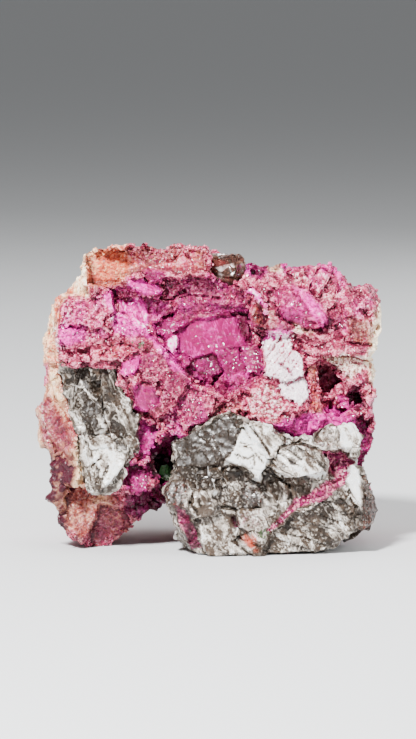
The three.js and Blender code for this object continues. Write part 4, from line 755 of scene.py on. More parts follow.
def face_cells(face):
    """The half-millimetre square of the face that each point lies in."""
    squares = np.round(face[:, :2].T * 2 + DEPTH_MAP_MIDDLE)
    column, row = np.clip(squares, 0, 2 * DEPTH_MAP_MIDDLE - 1).astype(int)
    return column, row


def look_from_front(face):
    """Notes the nearest depth of the piece in work in each square of the face."""
    nearest_depth.fill(np.inf)
    np.minimum.at(nearest_depth, face_cells(face), face[:, 2])


def front_share(face):
    """1 on the surface that the viewer sees, fading to 0 on the unseen sides."""
    behind = face[:, 2] - nearest_depth[face_cells(face)] + 1.5 * soft_noise(face, 3, 26)
    reach = TOP_REACH * smooth_step(*TOP_HEIGHTS, face[:, 1])
    near, far = FRONT_BEHIND
    hidden = smooth_step(near + 0.6 * reach, far + 0.6 * reach, behind)
    deep = smooth_step(*FRONT_DEPTH, face[:, 2] - reach)
    return 1 - np.maximum(hidden, deep)


def uneven(face, waves):
    """x and up on the face, made uneven so that no drawn border is straight."""
    x, up = face[:, 0], face[:, 1]
    for height, size, across, along in waves:
        x = x + height * soft_noise(face, size, across)
        up = up + height * soft_noise(face, size, along)
    return x, up


def traits_at(face, regions, start):
    """Paints the regions over the face, fading out behind it."""
    x, up = uneven(face, BORDER_WAVES)
    front = front_share(face)
    values = {name: np.full(len(x), float(value)) for name, value in start.items()}
    for _, edge, changes, _, outline in regions:
        share = region_share(outline, edge, x, up) * front
        for name, target in changes.items():
            values[name] += (target - values[name]) * share
    return values


def flatten(face, regions, front):
    """Draws the regions that have a plane onto it. Returns the moved face and how flat each point is."""
    face = face.copy()
    x, up = uneven(face, PLANE_WAVES)
    flat = np.zeros(len(face))
    for _, edge, _, plane, outline in regions:
        if plane is None:
            continue
        share = region_share(outline, min(edge, PLANE_EDGE), x, up) * front
        if share.sum() < 1:
            continue
        middle = (face * share[:, None]).sum(axis=0) / share.sum()
        stands_out, faces_right, faces_up = plane
        target = middle[2] - stands_out + faces_right * (x - middle[0]) + faces_up * (up - middle[1])
        face[:, 2] += (target - face[:, 2]) * share
        flat = np.maximum(flat, share)
    return face, flat


def line_share(face, lines):
    """How strongly lines of the face act at each point: each has a width, a strength and a course."""
    x, up = uneven(face, LINE_WAVES)
    front = front_share(face)
    total = np.zeros(len(face))
    for width, strength, course in lines:
        for start, end in zip(course, course[1:]):
            away = segment_distance(x, up, start, end)
            total = np.maximum(total, strength * (1 - smooth_step(0.15 * width, width, away)) * front)
    return total


def ragged_lips(face):
    """Makes the rock's edges uneven where they overhang the seats."""
    for outline in SEATS:
        away = outline_distance(outline, face[:, 0], face[:, 1]) / LIP_REACH
        share = front_share(face) * np.exp(-away ** 2)
        face[:, 0] += 0.5 * share * soft_noise(face, 1.5, 61)
        face[:, 1] += share * (0.9 * soft_noise(face, 1.7, 62) + 0.5 * soft_noise(face, 0.8, 63) - 0.15)
    return face


def striae(face, regions, lines):
    """Depth of the fine parallel lines on the flat faces."""
    depth = np.zeros(len(face))
    outlines = {name: outline for name, *_, outline in regions}
    for name, ((right, up), spacing, height) in lines.items():
        share = region_share(outlines[name], STRIAE_EDGE, face[:, 0], face[:, 1]) * front_share(face)
        across = (face[:, 0] * right + face[:, 1] * up) / spacing + 0.5 * soft_noise(face, 3, 71)
        line = np.floor(across)
        slope = across - line - 0.5
        depth += share * height * (slope + random_for(np.stack((line,) * 3, axis=1), 72) - 0.5)
    return depth


def rear_rind(values, face):
    """The unseen sides and back: weathered, stained and dull, with some pink showing."""
    front = front_share(face)
    patches = smooth_step(-0.15, 0.35, soft_noise(face, 9, 21) + 0.5 * soft_noise(face, 4, 22))
    rear = {
        "rind": 0.35 + 0.6 * patches,
        "magenta": 0.35 * (1 - patches),
        "pale": 0.3 * smooth_step(0, 0.6, soft_noise(face, 6, 23)),
        "wine": 0.25 * smooth_step(0.1, 0.7, soft_noise(face, 5, 24)),
        "smooth": REAR_SMOOTH,
    }
    for name, target in rear.items():
        values[name] = values[name] * front + (1 - front) * target


def vectors(items, name):
    """An attribute's three values for each vertex, in double precision."""
    flat = np.empty(len(items) * 3, dtype=np.float32)
    items.foreach_get(name, flat)
    return flat.reshape(-1, 3).astype(np.float64)


def mesh_points(mesh):
    return vectors(mesh.vertices, "co")


def mesh_normals(mesh):
    return vectors(mesh.vertex_normals, "vector")


def place_points(mesh, points):
    mesh.vertices.foreach_set("co", np.ascontiguousarray(points, dtype=np.float32).ravel())
    mesh.update()


def edge_ends(mesh):
    """The first and the second vertex of every edge."""
    ends = np.empty(len(mesh.edges) * 2, dtype=np.int32)
    mesh.edges.foreach_get("vertices", ends)
    return ends.reshape(-1, 2).T


def drop_crumbs(mesh):
    """Deletes the loose bits of a few faces that a rebuilt or thinned surface leaves behind."""
    first, second = edge_ends(mesh)
    home, nearer = None, np.arange(len(mesh.vertices))
    while home is None or not np.array_equal(home, nearer):
        home = nearer.copy()
        np.minimum.at(nearer, first, home[second])
        np.minimum.at(nearer, second, home[first])
        nearer = nearer[nearer]
    crumbs = np.flatnonzero(np.bincount(home)[home] < CRUMB)
    if len(crumbs):
        work = bmesh.new()
        work.from_mesh(mesh)
        work.verts.ensure_lookup_table()
        bmesh.ops.delete(work, geom=[work.verts[index] for index in crumbs], context="VERTS")
        work.to_mesh(mesh)
        work.free()


def hollowness(mesh, rounds):
    """How far each point lies below the surface smoothed over its neighbours, in the mesh's unit."""
    points = mesh_points(mesh)
    first, second = edge_ends(mesh)
    count = len(points)
    around = np.bincount(first, minlength=count) + np.bincount(second, minlength=count)
    smoothed = points.copy()
    for _ in range(rounds):
        total = np.empty_like(smoothed)
        for axis in range(3):
            total[:, axis] = np.bincount(first, smoothed[second, axis], count)
            total[:, axis] += np.bincount(second, smoothed[first, axis], count)
        smoothed = total / np.maximum(around, 1)[:, None]
    return np.einsum("ni,ni->n", smoothed - points, mesh_normals(mesh))


def new_object(name, data):
    thing = bpy.data.objects.new(name, data)
    bpy.context.scene.collection.objects.link(thing)
    return thing


def settle(piece):
    """Applies a piece's modifiers to its mesh."""
    depsgraph = bpy.context.evaluated_depsgraph_get()
    mesh = bpy.data.meshes.new_from_object(piece.evaluated_get(depsgraph))
    old = piece.data
    piece.modifiers.clear()
    piece.data = mesh
    bpy.data.meshes.remove(old)
    mesh.name = piece.name
    drop_crumbs(mesh)


def fine_copy(node, name, grid):
    """A copy of a CAD node in millimetres, its corners merged and its surface rebuilt on a fine grid."""
    work = bmesh.new()
    work.from_mesh(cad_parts[node].data)
    bmesh.ops.remove_doubles(work, verts=work.verts, dist=MERGE_DISTANCE)
    bmesh.ops.scale(work, vec=(1 / MM,) * 3, verts=work.verts)
    mesh = bpy.data.meshes.new(name)
    work.to_mesh(mesh)
    work.free()
    piece = new_object(name, mesh)
    rebuild = piece.modifiers.new("Fine grid", "REMESH")
    rebuild.mode = "VOXEL"
    rebuild.voxel_size = grid / MM
    settle(piece)
    return piece


def thin_out(piece, triangles, spare=None):
    """Collapses flat stretches until few enough triangles are left, first where spare is high."""
    piece.data.calc_loop_triangles()
    count = len(piece.data.loop_triangles)
    if count <= triangles:
        return
    fewer = piece.modifiers.new("Fewer triangles", "DECIMATE")
    fewer.ratio = triangles / count
    if spare is not None:
        group = piece.vertex_groups.new(name="Spare")
        for level in range(1, SPARE_LEVELS + 1):
            chosen = np.flatnonzero(np.round(spare * SPARE_LEVELS) == level)
            group.add([int(index) for index in chosen], level / SPARE_LEVELS, "REPLACE")
        fewer.vertex_group = group.name
        fewer.vertex_group_factor = 2.0
    settle(piece)
    piece.vertex_groups.clear()


def paint(mesh, name, columns):
    """Keeps up to four values per vertex as a colour attribute."""
    attribute = mesh.attributes.new(name, "FLOAT_COLOR", "POINT")
    colours = np.ones((len(mesh.vertices), 4), dtype=np.float32)
    for index, column in enumerate(columns):
        colours[:, index] = column
    attribute.data.foreach_set("color", colours.ravel())


def dress(mesh, values, tone_and_painted_light, channel):
    """Keeps on each vertex what its finish reads there: the traits, a tone for each grain, painted shade
    where the place is hollow, and a painted highlight where it stands out as an edge."""
    grain, fine_part, fine_depth, broad_part, broad_start, broad_depth, edge_height = tone_and_painted_light
    home, _, _ = nearest_grain(mesh_points(mesh), grain, channel)
    fine, broad = hollowness(mesh, FINE_ROUNDS), hollowness(mesh, BROAD_ROUNDS)
    # Painted shade where the surface is hollow, in fine and in broad hollows
    painted_hollow_shade = fine_part * np.clip(fine / fine_depth, 0, 1)
    painted_hollow_shade += broad_part * np.clip((broad - broad_start) / broad_depth, 0, 1)
    *growth, last = values.values()
    paint(mesh, "growth", growth)
    # A tone for each grain, and a painted highlight where the surface stands out as an edge
    tone, edge = random_for(home, channel + 3), np.clip(-fine / edge_height, 0, 1)
    paint(mesh, "finish", [last, tone, np.clip(painted_hollow_shade, 0, 1), edge])


def add_node(tree, kind, inputs=None, **settings):
    """Adds a shader node, and sets or links its inputs."""
    node = tree.nodes.new(kind)
    for name, value in settings.items():
        setattr(node, name, value)
    fill(tree, node, inputs or {})
    return node


def fill(tree, node, inputs):
    """Links a node's inputs to the sockets given, or sets them to the numbers and colours given."""
    for name, value in inputs.items():
        if isinstance(value, bpy.types.NodeSocket):
            tree.links.new(value, node.inputs[name])
        else:
            node.inputs[name].default_value = value


def mix_colour(tree, share, *colours):
    """The first colour where share is 0, the second where it is 1."""
    first, second = (c if isinstance(c, bpy.types.NodeSocket) else (*c, 1) for c in colours)
    return add_node(tree, "ShaderNodeMix", {0: share, 6: first, 7: second}, data_type="RGBA").outputs[2]


def maths(tree, operation, first, second=0.0, clamp=False):
    node = add_node(tree, "ShaderNodeMath", {0: first, 1: second}, operation=operation, use_clamp=clamp)
    return node.outputs[0]


def times(tree, value, factor, clamp=False):
    return maths(tree, "MULTIPLY", value, factor, clamp)


def scaled(tree, value, factor, offset):
    return maths(tree, "ADD", times(tree, value, factor), offset)


def centred(tree, value):
    """A value from 0 to 1 moved to lie around 0."""
    return maths(tree, "SUBTRACT", value, 0.5)


def vector_maths(tree, operation, first, second=None, scale=None):
    inputs = {0: first, 1: second, "Scale": scale}
    given = {name: value for name, value in inputs.items() if value is not None}
    return add_node(tree, "ShaderNodeVectorMath", given, operation=operation).outputs[0]


def ramp(tree, value, low, high):
    """0 below low, 1 above high, smooth between."""
    limits = {0: value, 1: low, 2: high}
    return add_node(tree, "ShaderNodeMapRange", limits, interpolation_type="SMOOTHSTEP").outputs[0]


def weighted(tree, *terms):
    """The sum of values times their weights."""
    total = None
    for value, weight in terms:
        term = times(tree, value, weight)
        total = term if total is None else maths(tree, "ADD", total, term)
    return total


def tinted(colour, factor):
    return tuple(min(channel * factor, 1.0) for channel in colour)


def painted(tree, name):
    """The four values of a colour attribute."""
    attribute = add_node(tree, "ShaderNodeAttribute", attribute_name=name)
    parts = add_node(tree, "ShaderNodeSeparateColor", {0: attribute.outputs["Color"]})
    return (*parts.outputs, attribute.outputs["Alpha"])


def new_group(name, inputs):
    """An empty node group and its inputs, which are vectors where the default is one."""
    group = bpy.data.node_groups.new(name, "ShaderNodeTree")
    for label, default in inputs.items():
        kind = "NodeSocketVector" if isinstance(default, tuple) else "NodeSocketFloat"
        group.interface.new_socket(name=label, in_out="INPUT", socket_type=kind).default_value = default
    return group, add_node(group, "NodeGroupInput").outputs


def finish_group(group, results):
    """Puts out a group's results, which are vectors where their socket is one."""
    for label, socket in results.items():
        kind = "NodeSocketVector" if socket.type == "VECTOR" else "NodeSocketFloat"
        group.interface.new_socket(name=label, in_out="OUTPUT", socket_type=kind)
    add_node(group, "NodeGroupOutput", results)


def use_group(tree, name, values):
    return add_node(tree, "ShaderNodeGroup", values, node_tree=bpy.data.node_groups[name]).outputs


def grain_group():
    """Grains of crystal: a random tone for each, and a normal tilted by it."""
    group, given = new_group("Crystal grains", {"Scale": 1500.0, "Tilt": 0.6, "Warp": 0.0002})
    place = add_node(group, "ShaderNodeTexCoord").outputs["Object"]
    swirl = add_node(group, "ShaderNodeTexNoise", {"Vector": place, "Scale": 900.0, "Detail": 1.0})
    shift = vector_maths(group, "SUBTRACT", swirl.outputs["Color"], (0.5,) * 3)
    shift = vector_maths(group, "SCALE", shift, scale=given["Warp"])
    warped = vector_maths(group, "ADD", place, shift)
    cells = add_node(group, "ShaderNodeTexVoronoi", {"Vector": warped, "Scale": given["Scale"]}, feature="F1")
    parts = add_node(group, "ShaderNodeSeparateColor", {0: cells.outputs["Color"]})
    lean = vector_maths(group, "SUBTRACT", cells.outputs["Color"], (0.5,) * 3)
    lean = vector_maths(group, "SCALE", lean, scale=given["Tilt"])
    surface = add_node(group, "ShaderNodeNewGeometry").outputs["Normal"]
    normal = vector_maths(group, "NORMALIZE", vector_maths(group, "ADD", surface, lean))
    finish_group(group, {"Tone": parts.outputs[0], "Normal": normal})


def stain_group():
    """Cloudy patches at two sizes, each from 0 to 1."""
    group, given = new_group("Cloudy stain", {"Scale": 200.0, "Sharpness": 0.15})
    place = add_node(group, "ShaderNodeTexCoord").outputs["Object"]
    low = maths(group, "SUBTRACT", 0.5, given["Sharpness"])
    high = maths(group, "ADD", 0.5, given["Sharpness"])
    finer = times(group, given["Scale"], 8.0)
    results = {}
    for label, scale, detail, roughness in (("Broad", given["Scale"], 4.0, 0.6), ("Fine", finer, 3.0, 0.7)):
        cloud = {"Vector": place, "Scale": scale, "Detail": detail, "Roughness": roughness}
        noise = add_node(group, "ShaderNodeTexNoise", cloud)
        results[label] = ramp(group, noise.outputs["Fac"], low, high)
    finish_group(group, results)


def veil_group():
    """Thin wavy veils: lines that are 1 along their middle, and broad sheets."""
    inputs = {"Scale": 500.0, "Width": 0.05, "Turn": (0.0, 0.0, 0.0), "Stretch": (1.0, 1.0, 1.0)}
    group, given = new_group("Wavy veils", inputs)
    place = add_node(group, "ShaderNodeTexCoord").outputs["Object"]
    turned = {"Vector": place, "Rotation": given["Turn"], "Scale": given["Stretch"]}
    place = add_node(group, "ShaderNodeMapping", turned, vector_type="TEXTURE").outputs[0]
    wavy = {"Vector": place, "Scale": given["Scale"], "Detail": 3.0, "Roughness": 0.6, "Distortion": 0.4}
    waves = add_node(group, "ShaderNodeTexNoise", wavy).outputs["Fac"]
    line = ramp(group, maths(group, "ABSOLUTE", centred(group, waves)), given["Width"], 0.0)
    finish_group(group, {"Line": line, "Sheet": ramp(group, waves, 0.35, 0.65)})


def new_material(name):
    material = bpy.data.materials.new(name)
    material.use_nodes = True
    tree = material.node_tree
    return material, tree, tree.nodes["Principled BSDF"]


def pink_material(colours):
    _, tree, shader = new_material("Pink calcite")
    magenta, rind, pale, wine = painted(tree, "growth")
    smooth, tone, painted_hollow_shade, edge = painted(tree, "finish")
    broken = maths(tree, "SUBTRACT", 1.0, smooth)
    tilt = times(tree, broken, 1.15)
    turn = (0.0, math.radians(-15), 0.0)
    sugar = use_group(tree, "Crystal grains", {"Scale": 1900.0, "Tilt": tilt, "Warp": 0.0002})
    fine = use_group(tree, "Crystal grains", {"Scale": 4200.0, "Tilt": tilt, "Warp": 0.0001})
    cloud = use_group(tree, "Cloudy stain", {"Scale": 230.0, "Sharpness": 0.16})
    veil = {"Scale": 800.0, "Width": 0.04, "Turn": turn, "Stretch": (1.0, 1.0, 5.0)}
    streak = use_group(tree, "Wavy veils", veil)
    patch, fleck = centred(tree, cloud["Broad"]), centred(tree, cloud["Fine"])
    sheet = centred(tree, streak["Sheet"])
    line = times(tree, streak["Line"], smooth)

    # Painted light and shade of each grain: its random tone, lighter on edges and darker in hollows; lit
    # grains take a painted highlight and dim ones painted shade
    light = weighted(
        tree, (sugar["Tone"], 0.3), (fine["Tone"], 0.5), (tone, 0.2), (edge, 0.25), (painted_hollow_shade, -0.4)
    )
    lit = ramp(tree, light, 0.6, 0.84)
    dim = times(tree, ramp(tree, light, 0.48, 0.26), broken)

    # Sugary calcite, with clean crystals where magenta is high; lit grains are painted pale pink as a painted
    # highlight and dim ones crimson as painted shade
    dusty = mix_colour(tree, ramp(tree, patch, -0.1, 0.7), colours.dusty_pink, colours.coral)
    dusty = mix_colour(tree, lit, dusty, colours.pale_pink)
    dusty = mix_colour(tree, dim, dusty, colours.crimson)
    # Clean crystal: lit grains lighter as a painted highlight, dim ones darker as painted shade
    vivid = weighted(tree, (lit, 0.3), (pale, 1.3), (fleck, 0.3), (sheet, 0.45), (line, 0.5))
    vivid = maths(tree, "ADD", vivid, -0.12, clamp=True)
    clean = mix_colour(tree, vivid, colours.magenta, colours.bright_magenta)
    clean = mix_colour(tree, times(tree, dim, 0.7), clean, colours.wine)
    share = ramp(tree, weighted(tree, (magenta, 1.0), (patch, 0.35), (fleck, 0.2)), 0.15, 0.8)
    base = mix_colour(tree, share, dusty, clean)

    # The weathered rind, lighter on lit grains as a painted highlight and crimson on dim ones as painted
    # shade
    rusty = weighted(tree, (patch, 0.7), (fleck, 0.6), (pale, -1.2))
    crust = mix_colour(tree, ramp(tree, rusty, -0.75, 0.1), colours.cream, colours.tan)
    crust = mix_colour(tree, times(tree, lit, 0.28), crust, tinted(colours.cream, 1.3))
    crust = mix_colour(tree, times(tree, dim, 0.8), crust, colours.crimson)
    share = ramp(tree, weighted(tree, (rind, 1.0), (fleck, 0.5)), 0.2, 0.85)
    base = mix_colour(tree, share, base, crust)

    # Bleached stretches and streaks, more on lit grains and less on dim ones and in hollows, and over them
    # dark red where the trait wine is high, in blotches, and as painted shade in the hollows
    bleach = weighted(
        tree, (pale, 1.0), (magenta, -0.45), (fleck, 0.55), (lit, 0.15), (line, 0.55), (dim, -0.4),
        (painted_hollow_shade, -0.5),
    )
    bleached = mix_colour(tree, ramp(tree, rind, 0.3, 0.8), colours.silver, colours.ivory)
    base = mix_colour(tree, ramp(tree, bleach, 0.25, 0.95), base, bleached)
    blotch = times(tree, wine, patch)
    # Painted shade: hollows darken towards the dark red of the hollow crystals, along with the trait and its
    # blotches
    deep = maths(tree, "ADD", wine, weighted(tree, (painted_hollow_shade, 0.5), (blotch, 0.8)))
    base = mix_colour(tree, times(tree, deep, 0.8, clamp=True), base, colours.wine)

    rough = weighted(tree, (sugar["Tone"], 0.25), (rind, 0.25))
    fill(tree, shader, {
        "Base Color": base,
        "Roughness": maths(tree, "ADD", rough, 0.1),
        "Normal": fine["Normal"],
        "IOR": 1.37,
        "Subsurface Weight": 0.1,
        "Subsurface Radius": (1.0, 0.35, 0.6),
        "Subsurface Scale": 0.5 * MM,
    })


def grey_material(colours):
    _, tree, shader = new_material("Grey calcite")
    frost, smoke, vein, stain = painted(tree, "growth")
    grit, tone, painted_hollow_shade, edge = painted(tree, "finish")
    tilt = scaled(tree, grit, 0.24, 0.08)
    turn = (0.0, math.radians(-28), 0.0)
    sugar = use_group(tree, "Crystal grains", {"Scale": 1100.0, "Tilt": tilt, "Warp": 0.0005})
    fine = use_group(tree, "Crystal grains", {"Scale": 3400.0, "Tilt": tilt, "Warp": 0.0002})
    cloud = use_group(tree, "Cloudy stain", {"Scale": 260.0, "Sharpness": 0.22})
    veil = {"Scale": 700.0, "Width": 0.05, "Turn": turn, "Stretch": (1.0, 1.0, 3.5)}
    streak = use_group(tree, "Wavy veils", veil)
    veil = {"Scale": 330.0, "Width": 0.035, "Turn": turn, "Stretch": (1.0, 1.0, 1.6)}
    swirl = use_group(tree, "Wavy veils", veil)
    patch, fleck = centred(tree, cloud["Broad"]), centred(tree, cloud["Fine"])
    stripe = centred(tree, streak["Sheet"])
    speckle = times(tree, fleck, grit)

    # Clear and dark, under white veils and specks; hollows are darker and less veiled as painted shade, and
    # edges lighter and more veiled as a painted highlight
    ash = mix_colour(tree, ramp(tree, patch, -0.5, 0.5), tinted(colours.ash, 0.6), colours.ash)
    clear = weighted(
        tree, (smoke, 1.0), (patch, 1.1), (stripe, 0.5), (speckle, 0.35), (painted_hollow_shade, 0.25), (edge, -0.15)
    )
    base = mix_colour(tree, ramp(tree, clear, 0.1, 1.0), ash, colours.smoke)
    white = weighted(
        tree, (frost, 1.0), (speckle, 0.6), (stripe, 0.5), (patch, -0.7), (streak["Line"], 0.3),
        (swirl["Line"], 0.4), (edge, 0.15), (painted_hollow_shade, -0.3), (tone, 0.12),
    )
    frosted = mix_colour(tree, ramp(tree, white, 0.8, 1.3), colours.frost, colours.white)
    base = mix_colour(tree, ramp(tree, white, 0.4, 1.35), base, frosted)
    speck = times(tree, ramp(tree, fine["Tone"], 0.78, 1.0), times(tree, grit, 0.5))
    base = mix_colour(tree, speck, base, colours.frost)

    # Pink veins and rusty stains
    light = weighted(tree, (sugar["Tone"], 0.5), (fine["Tone"], 0.5))
    # Vein grains are painted pale as a painted highlight and crimson as painted shade, at random
    pink = mix_colour(tree, ramp(tree, light, 0.5, 0.85), colours.magenta, colours.pale_pink)
    pink = mix_colour(tree, ramp(tree, light, 0.5, 0.25), pink, colours.crimson)
    dark = weighted(tree, (smoke, 0.8), (ramp(tree, patch, 0.0, 0.5), 0.6))
    pink = mix_colour(tree, dark, pink, colours.wine)
    share = ramp(tree, weighted(tree, (vein, 1.0), (fleck, 0.4)), 0.15, 0.6)
    base = mix_colour(tree, share, base, pink)
    rust = mix_colour(tree, light, colours.tan, colours.coral)
    share = ramp(tree, weighted(tree, (stain, 1.0), (fleck, 0.3)), 0.1, 0.9)
    base = mix_colour(tree, share, base, rust)

    rough = weighted(tree, (fine["Tone"], 0.3), (patch, 0.15))
    fill(tree, shader, {
        "Base Color": base,
        "Roughness": maths(tree, "ADD", rough, 0.22),
        "Normal": fine["Normal"],
        "IOR": 1.4,
        "Transmission Weight": 0.2,
        "Subsurface Weight": 0.4,
        "Subsurface Radius": (1.0, 0.9, 0.8),
        "Subsurface Scale": 0.6 * MM,
    })


def clear_material(colours):
    _, tree, shader = new_material("Clear calcite")
    sugar = use_group(tree, "Crystal grains", {"Scale": 700.0, "Tilt": 0.3, "Warp": 0.0006})
    share = ramp(tree, sugar["Tone"], 0.2, 1.0)
    fill(tree, shader, {
        "Base Color": mix_colour(tree, share, tinted(colours.brown, 0.5), colours.brown),
        "Roughness": scaled(tree, sugar["Tone"], 0.3, 0.14),
        "Normal": sugar["Normal"],
        "IOR": 1.5,
        "Transmission Weight": 0.9,
    })


def druse_material(colours):
    _, tree, shader = new_material("Wine druse")
    _, tone, _, _ = painted(tree, "finish")
    share = ramp(tree, tone, 0.1, 1.0)
    fill(tree, shader, {
        "Base Color": mix_colour(tree, share, colours.wine, tinted(colours.magenta, 0.7)),
        "Roughness": scaled(tree, tone, 0.2, 0.08),
        "IOR": 1.6,
    })


def green_material(colours):
    _, tree, shader = new_material("Green crystal")
    cloud = use_group(tree, "Cloudy stain", {"Scale": 900.0, "Sharpness": 0.2})
    _, paler, _, _ = painted(tree, "finish")
    base = mix_colour(tree, cloud["Broad"], tinted(colours.green, 0.5), colours.green)
    fill(tree, shader, {
        "Base Color": mix_colour(tree, paler, base, colours.pale_green),
        "Roughness": scaled(tree, cloud["Fine"], 0.2, 0.06),
        "IOR": 1.5,
        "Transmission Weight": 0.35,
    })


def into_frame(piece):
    """Brings a piece from millimetres to the frame's metres, and keeps it inside the CAD model's box."""
    low, high = (np.array(corner) for corner in cad_bounds)
    place_points(piece.data, np.clip(mesh_points(piece.data) * MM, low, high))


def finish_piece(piece, finish, node=None, sharp=None):
    """Brings a piece into the frame, gives it its finish, hangs it from the root body, and hides the CAD node
    that it replaces, if any.
    Edges that turn more than sharp degrees stay crisp."""
    into_frame(piece)
    if sharp is not None:
        piece.data.shade_smooth()
        piece.data.set_sharp_from_angle(angle=math.radians(sharp))
    piece.data.materials.clear()
    piece.data.materials.append(bpy.data.materials[finish])
    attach(piece, "root")
    if node is not None:
        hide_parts(node)


def rhomb_shape():
    """One cleavage rhomb, an edge long, as points and faces."""
    work = bmesh.new()
    bmesh.ops.create_cube(work, size=1)
    bmesh.ops.transform(work, matrix=Matrix(RHOMB.tolist()), verts=work.verts)
    points = np.array([vertex.co[:] for vertex in work.verts])
    faces = np.array([[vertex.index for vertex in face.verts] for face in work.faces])
    work.free()
    return points, faces


def joined_crystals(name, centres, turns, edges):
    """One mesh of many rhombs, in millimetres."""
    shape, faces = rhomb_shape()
    points = np.einsum("nij,pj->npi", turns, shape) * edges[:, None, None] + centres[:, None, :]
    starts = np.arange(len(centres)) * RHOMB_CORNERS
    all_faces = faces[None] + starts[:, None, None]
    mesh = bpy.data.meshes.new(name)
    mesh.from_pydata(points.reshape(-1, 3).tolist(), [], all_faces.reshape(-1, 4).tolist())
    return new_object(name, mesh)


def sample_surface(mesh, weights, count, random):
    """Random places on a mesh's triangles: their points and normals."""
    mesh.calc_loop_triangles()
    corners = np.empty(len(mesh.loop_triangles) * 3, dtype=np.int32)
    mesh.loop_triangles.foreach_get("vertices", corners)
    corners = corners.reshape(-1, 3)
    points = mesh_points(mesh)
    a, b, c = (points[corners[:, index]] for index in range(3))
    cross = np.cross(b - a, c - a)
    area = np.linalg.norm(cross, axis=1) / 2
    share = area * weights[corners].mean(axis=1)
    chosen = random.choice(len(corners), size=count, p=share / share.sum())
    first, second = random.random(count), random.random(count)
    over = first + second > 1
    first, second = np.where(over, 1 - first, first), np.where(over, 1 - second, second)
    spots = a[chosen] + (b - a)[chosen] * first[:, None] + (c - a)[chosen] * second[:, None]
    normals = cross[chosen] / np.maximum(2 * area[chosen], 1e-12)[:, None]
    return spots, normals


def grow_crystals(piece, name, weights, count, habit, random):
    """Scatters loose rhombs over a piece, more where the weights are high. Returns them and their places."""
    smallest, more, rarity, sunk_share, sunk_by = habit
    spots, normals = sample_surface(piece.data, weights, count, random)
    edges = smallest + more * random.random(count) ** rarity
    turns = random_turns(*random.random((3, count)))
    depth = sunk_share * edges + sunk_by
    return joined_crystals(name, spots - normals * depth[:, None], turns, edges), spots


def green_specks(piece, name, clusters, seed):
    """Clusters of small green crystals on the side of a piece that the viewer sees."""
    points = mesh_points(piece.data)
    face = to_face(points)
    toward_viewer = np.clip(facing_viewer(points, mesh_normals(piece.data)), 0, 1)
    near = np.zeros(len(face))
    for x, up, reach in clusters:
        near += np.exp(-((face[:, 0] - x) ** 2 + (face[:, 1] - up) ** 2) / reach ** 2)
    weights = near * toward_viewer * front_share(face) + 1e-12
    count = SPECKS_IN_CLUSTER * len(clusters)
    specks, _ = grow_crystals(piece, name, weights, count, GREEN_SPECKS, np.random.default_rng(seed))
    paint(specks.data, "finish", [0, SPECK_PALENESS])
    finish_piece(specks, "Green crystal")


class CALCITE_OT_materials(bpy.types.Operator):
    """Makes the finishes of the specimen"""

    bl_idname = "calcite.materials"
    bl_label = "Make Finishes"

    def execute(self, context):
        for make_group in (grain_group, stain_group, veil_group):
            make_group()
        for make_material in (pink_material, grey_material, clear_material, druse_material, green_material):
            make_material(context.scene.calcite_colours)
        return {"FINISHED"}


